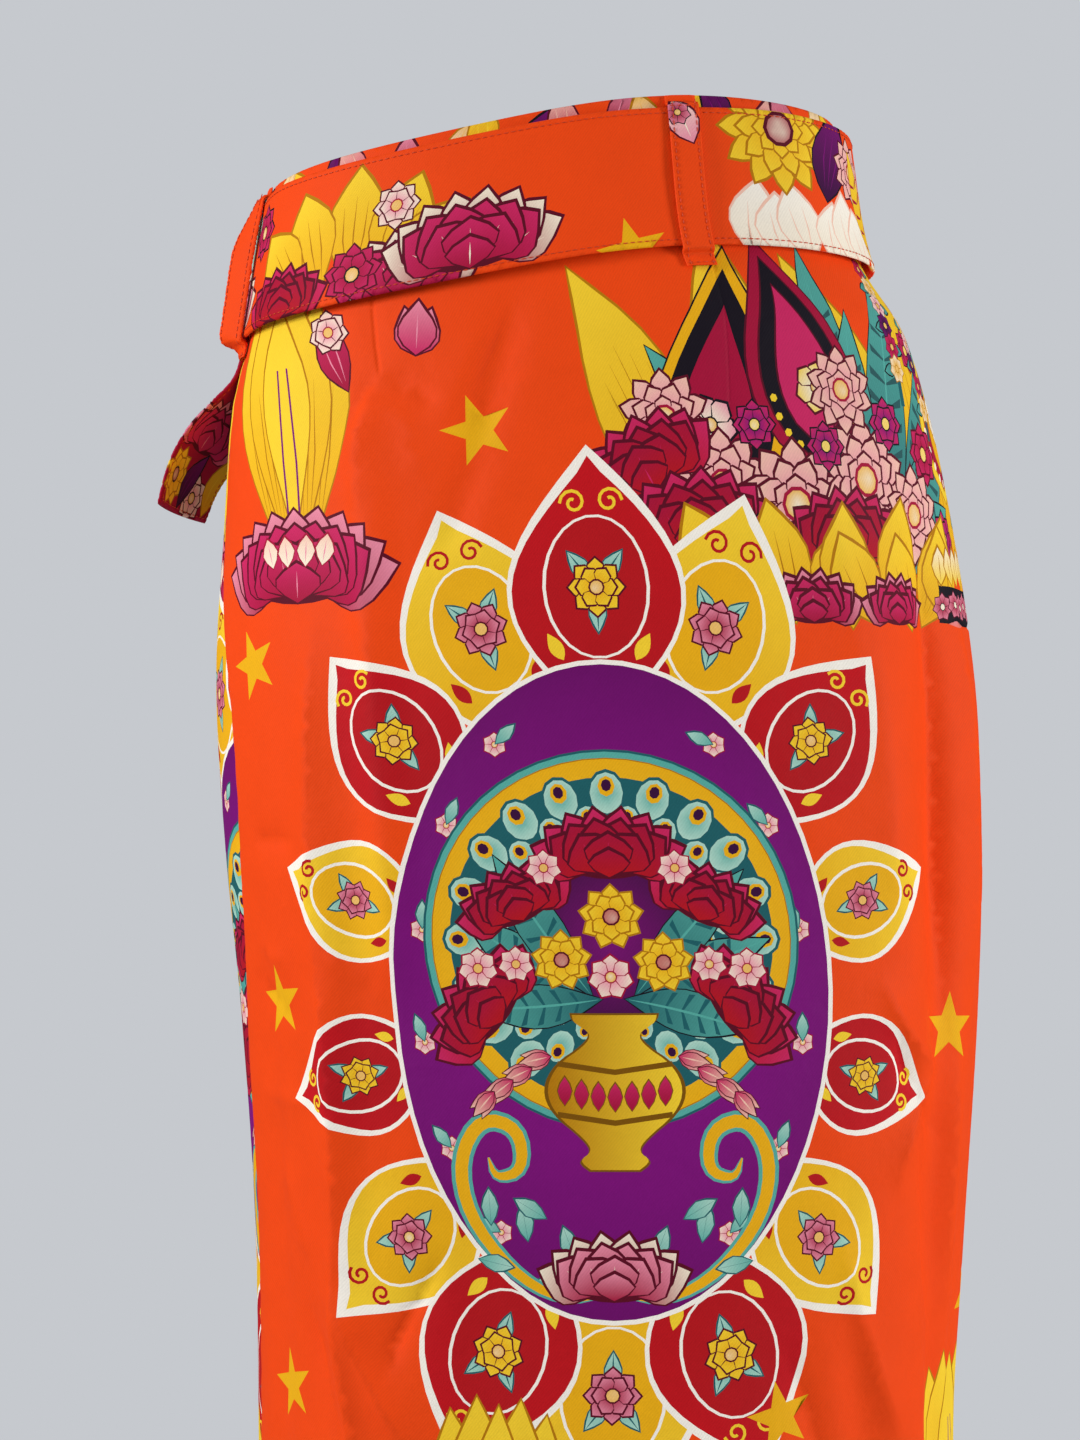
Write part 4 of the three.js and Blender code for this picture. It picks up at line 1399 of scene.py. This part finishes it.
def loop(name, centre):
    """A strap over the belt, with both ends turned in."""
    over = BAND / 2 + BELT_CLEAR + BELT + SEAM_GAP
    top = BELT_HEIGHT - BELT_BELOW_SEAM
    bends = np.array([
        # height, distance off, and how much further the outer face goes round the turn
        (WAISTBAND_HEIGHT - 0.3, BAND / 2 + SEAM_GAP, 0),
        (top + 0.8, BAND / 2 + SEAM_GAP, STRAP),
        (top + 0.4, over, STRAP),
        (top / 2, over + 0.8, 0),
        (-BELT_BELOW_SEAM - 0.6, over, -STRAP),
        (-BELT_BELOW_SEAM - 2.4, CLOTH / 2 + 0.5, -STRAP),
        (-BELT_BELOW_SEAM - LOOP_END, CLOTH / 2 + 0.5, 0),
    ])
    lift = LOOP_LIFT.get(name, 0)
    middle = bends[:, :2] + np.stack([bends[:, 2] / 2, np.full(len(bends), STRAP / 2)], 1)
    length = np.concatenate([[0], np.cumsum(np.linalg.norm(np.diff(middle, axis=0), axis=1))])
    half = LOOP_WIDTH / 2

    def place(flat, side):
        """The bends are softened by taking the mean of three places along the strap."""
        face = bends[:, :2] + (np.stack([bends[:, 2], np.full(len(bends), STRAP)], 1) if side > 0 else 0)
        z, off = (sum(np.interp(-flat[:, 1] + reach, length, face[:, k]) * share
                      for reach, share in ((-0.8, 0.25), (0, 0.5), (0.8, 0.25))) for k in (0, 1))
        shape = rounded(half - np.abs(flat[:, 0]), STRAP)
        down = -flat[:, 1] / length[-1]
        raised = lift * ease(down, 0, 0.4) * ease(1 - down, 0, 0.18)
        off += raised * (half - flat[:, 0]) / LOOP_WIDTH - side * STRAP / 2 * (1 - shape)
        aside = half - (half - flat[:, 0]) * np.sqrt(1 - (raised / LOOP_WIDTH) ** 2)
        return body(centre + aside / ring(centre, z)[2], z, off)

    low, high = (-half, -length[-1]), (half, 0)
    side, bottom = half - LOOP_STITCH_INSET, LOOP_STITCH_INSET - length[-1]
    rows = [[(x, -length[3] * 0.2), (x, bottom)] for x in (-side, side)]
    rows += [[(-side, y), (side, y)] for y in (bottom, -length[3] * 0.24)]
    cloth(name, strip_outline(low, high, LOOP_GRID), loop_print(name), place, BANDED,
          edge_rows(low, high, LOOP_GRID, upright=True), LOOP_GRID, rows)


def placket():
    """The lap over the zip, with the print of the panel under it."""
    low = (-PLACKET_LAP * PLACKET_WIDTH, PLACKET_BOTTOM)
    high = ((1 - PLACKET_LAP) * PLACKET_WIDTH, -BELT_BELOW_SEAM - 1)

    def place(flat, side):
        seam = SEAM["back"](flat[:, 1])
        off = CLOTH / 2 + SEAM_GAP + (CLOTH if side > 0 else 0)
        return body(seam + flat[:, 0] / ring(seam, flat[:, 1])[2], flat[:, 1], off)

    seam, middle = girth(np.array([SEAMS[0]["back"], MIDDLES[2]]), -90.0)
    inset = STITCH_INSET
    row = [(low[0] + inset, -8), (low[0] + inset, low[1] + inset), (high[0] - inset, low[1] + inset)]
    cloth("zip_placket", strip_outline(low, high), placed(back_print(), float(middle - seam)), place, TWILL,
          sewn=[row])


MIDDLES = (0.0, 141.0, 234.0)
panel("front_panel", SEAM["left"], SEAM["right"], MIDDLES[0], skirt_print(), dart_points())
panel("back_right_panel", SEAM["right"], SEAM["back"], MIDDLES[1], back_print())
panel("back_left_panel", SEAM["back"], lambda z: SEAM["left"](z) + 360, MIDDLES[2], back_print())
placket()
waistband()
belt()
tail()
for loop_name, loop_angle in LOOPS.items():
    loop(loop_name, loop_angle)

# ---------------- camera, light and stage

CAMERA = {"x": -9, "y": -1150, "z": -191, "lens": 62.5, "sensor": 36}
DOME = {"brightest": (0.0, -0.5, 0.86), "low": 0.09, "high": 0.36}
KEYS = table(
    "name place watts",
    ("key_left", (-1.59, -0.85, 0.35), 26),
    ("key_right", (1.69, -0.64, -0.05), 21),
)
KEY_SIZE = (0.45, 0.9)
KEY_AIM = (0.01, 0, -0.3)
FLOOR = -1.02


def camera():
    data = bpy.data.cameras.new("camera")
    data.lens = CAMERA["lens"]
    data.sensor_width = CAMERA["sensor"]
    data.clip_start = 0.01
    eye = new_object("camera", data)
    eye.location = [CAMERA[axis] * MM for axis in "xyz"]
    eye.rotation_euler = (math.radians(90), 0, 0)
    bpy.context.scene.camera = eye


def softbox(name, place, watts):
    data = bpy.data.lights.new(name, "AREA")
    data.shape = "RECTANGLE"
    data.size, data.size_y = KEY_SIZE
    data.energy = watts
    lamp = new_object(name, data)
    lamp.location = place
    way = np.subtract(KEY_AIM, place)
    lamp.rotation_euler = (math.atan2(math.hypot(way[0], way[1]), -way[2]), 0, math.atan2(-way[0], way[1]))


def studio():
    """A pale room: a weak dome, brightest above and in front, and a softbox at each side for the folds."""
    scene = bpy.context.scene
    scene.view_settings.view_transform = "Standard"
    scene.world = bpy.data.worlds.new("studio")
    tree = blank_tree(scene.world)
    way = add_node(tree, "ShaderNodeTexCoord").outputs["Generated"]
    toward = add_node(tree, "ShaderNodeVectorMath", [(0, way)], operation="DOT_PRODUCT")
    toward.inputs[1].default_value = DOME["brightest"]
    bright = add_node(tree, "ShaderNodeMapRange", [("Value", toward.outputs["Value"])], From__Min=-0.75,
                      From__Max=1.0, To__Min=DOME["low"], To__Max=DOME["high"],
                      interpolation_type="SMOOTHSTEP").outputs["Result"]
    soft = add_node(tree, "ShaderNodeBackground", [("Strength", bright)], Color=(0.96, 0.98, 1.0, 1))
    seen = add_node(tree, "ShaderNodeBackground", Color=(*linear("#c6c9ce"), 1), Strength=1.0)
    ray = add_node(tree, "ShaderNodeLightPath").outputs["Is Camera Ray"]
    mixed = add_node(tree, "ShaderNodeMixShader", [(0, ray), (1, soft.outputs[0]), (2, seen.outputs[0])])
    add_node(tree, "ShaderNodeOutputWorld", [("Surface", mixed.outputs[0])])
    for key in KEYS:
        softbox(**key)
    bpy.ops.mesh.primitive_circle_add(vertices=128, radius=1.4, fill_type="NGON", location=(0, 0, FLOOR))
    floor = bpy.context.object
    floor.name = "floor"
    paper = bpy.data.materials.new("grey_paper")
    paper.use_nodes = True
    surface = paper.node_tree.nodes["Principled BSDF"].inputs
    surface["Base Color"].default_value = (*linear("#c9cbcf"), 1)
    surface["Roughness"].default_value = 0.9
    floor.data.materials.append(paper)


camera()
studio()
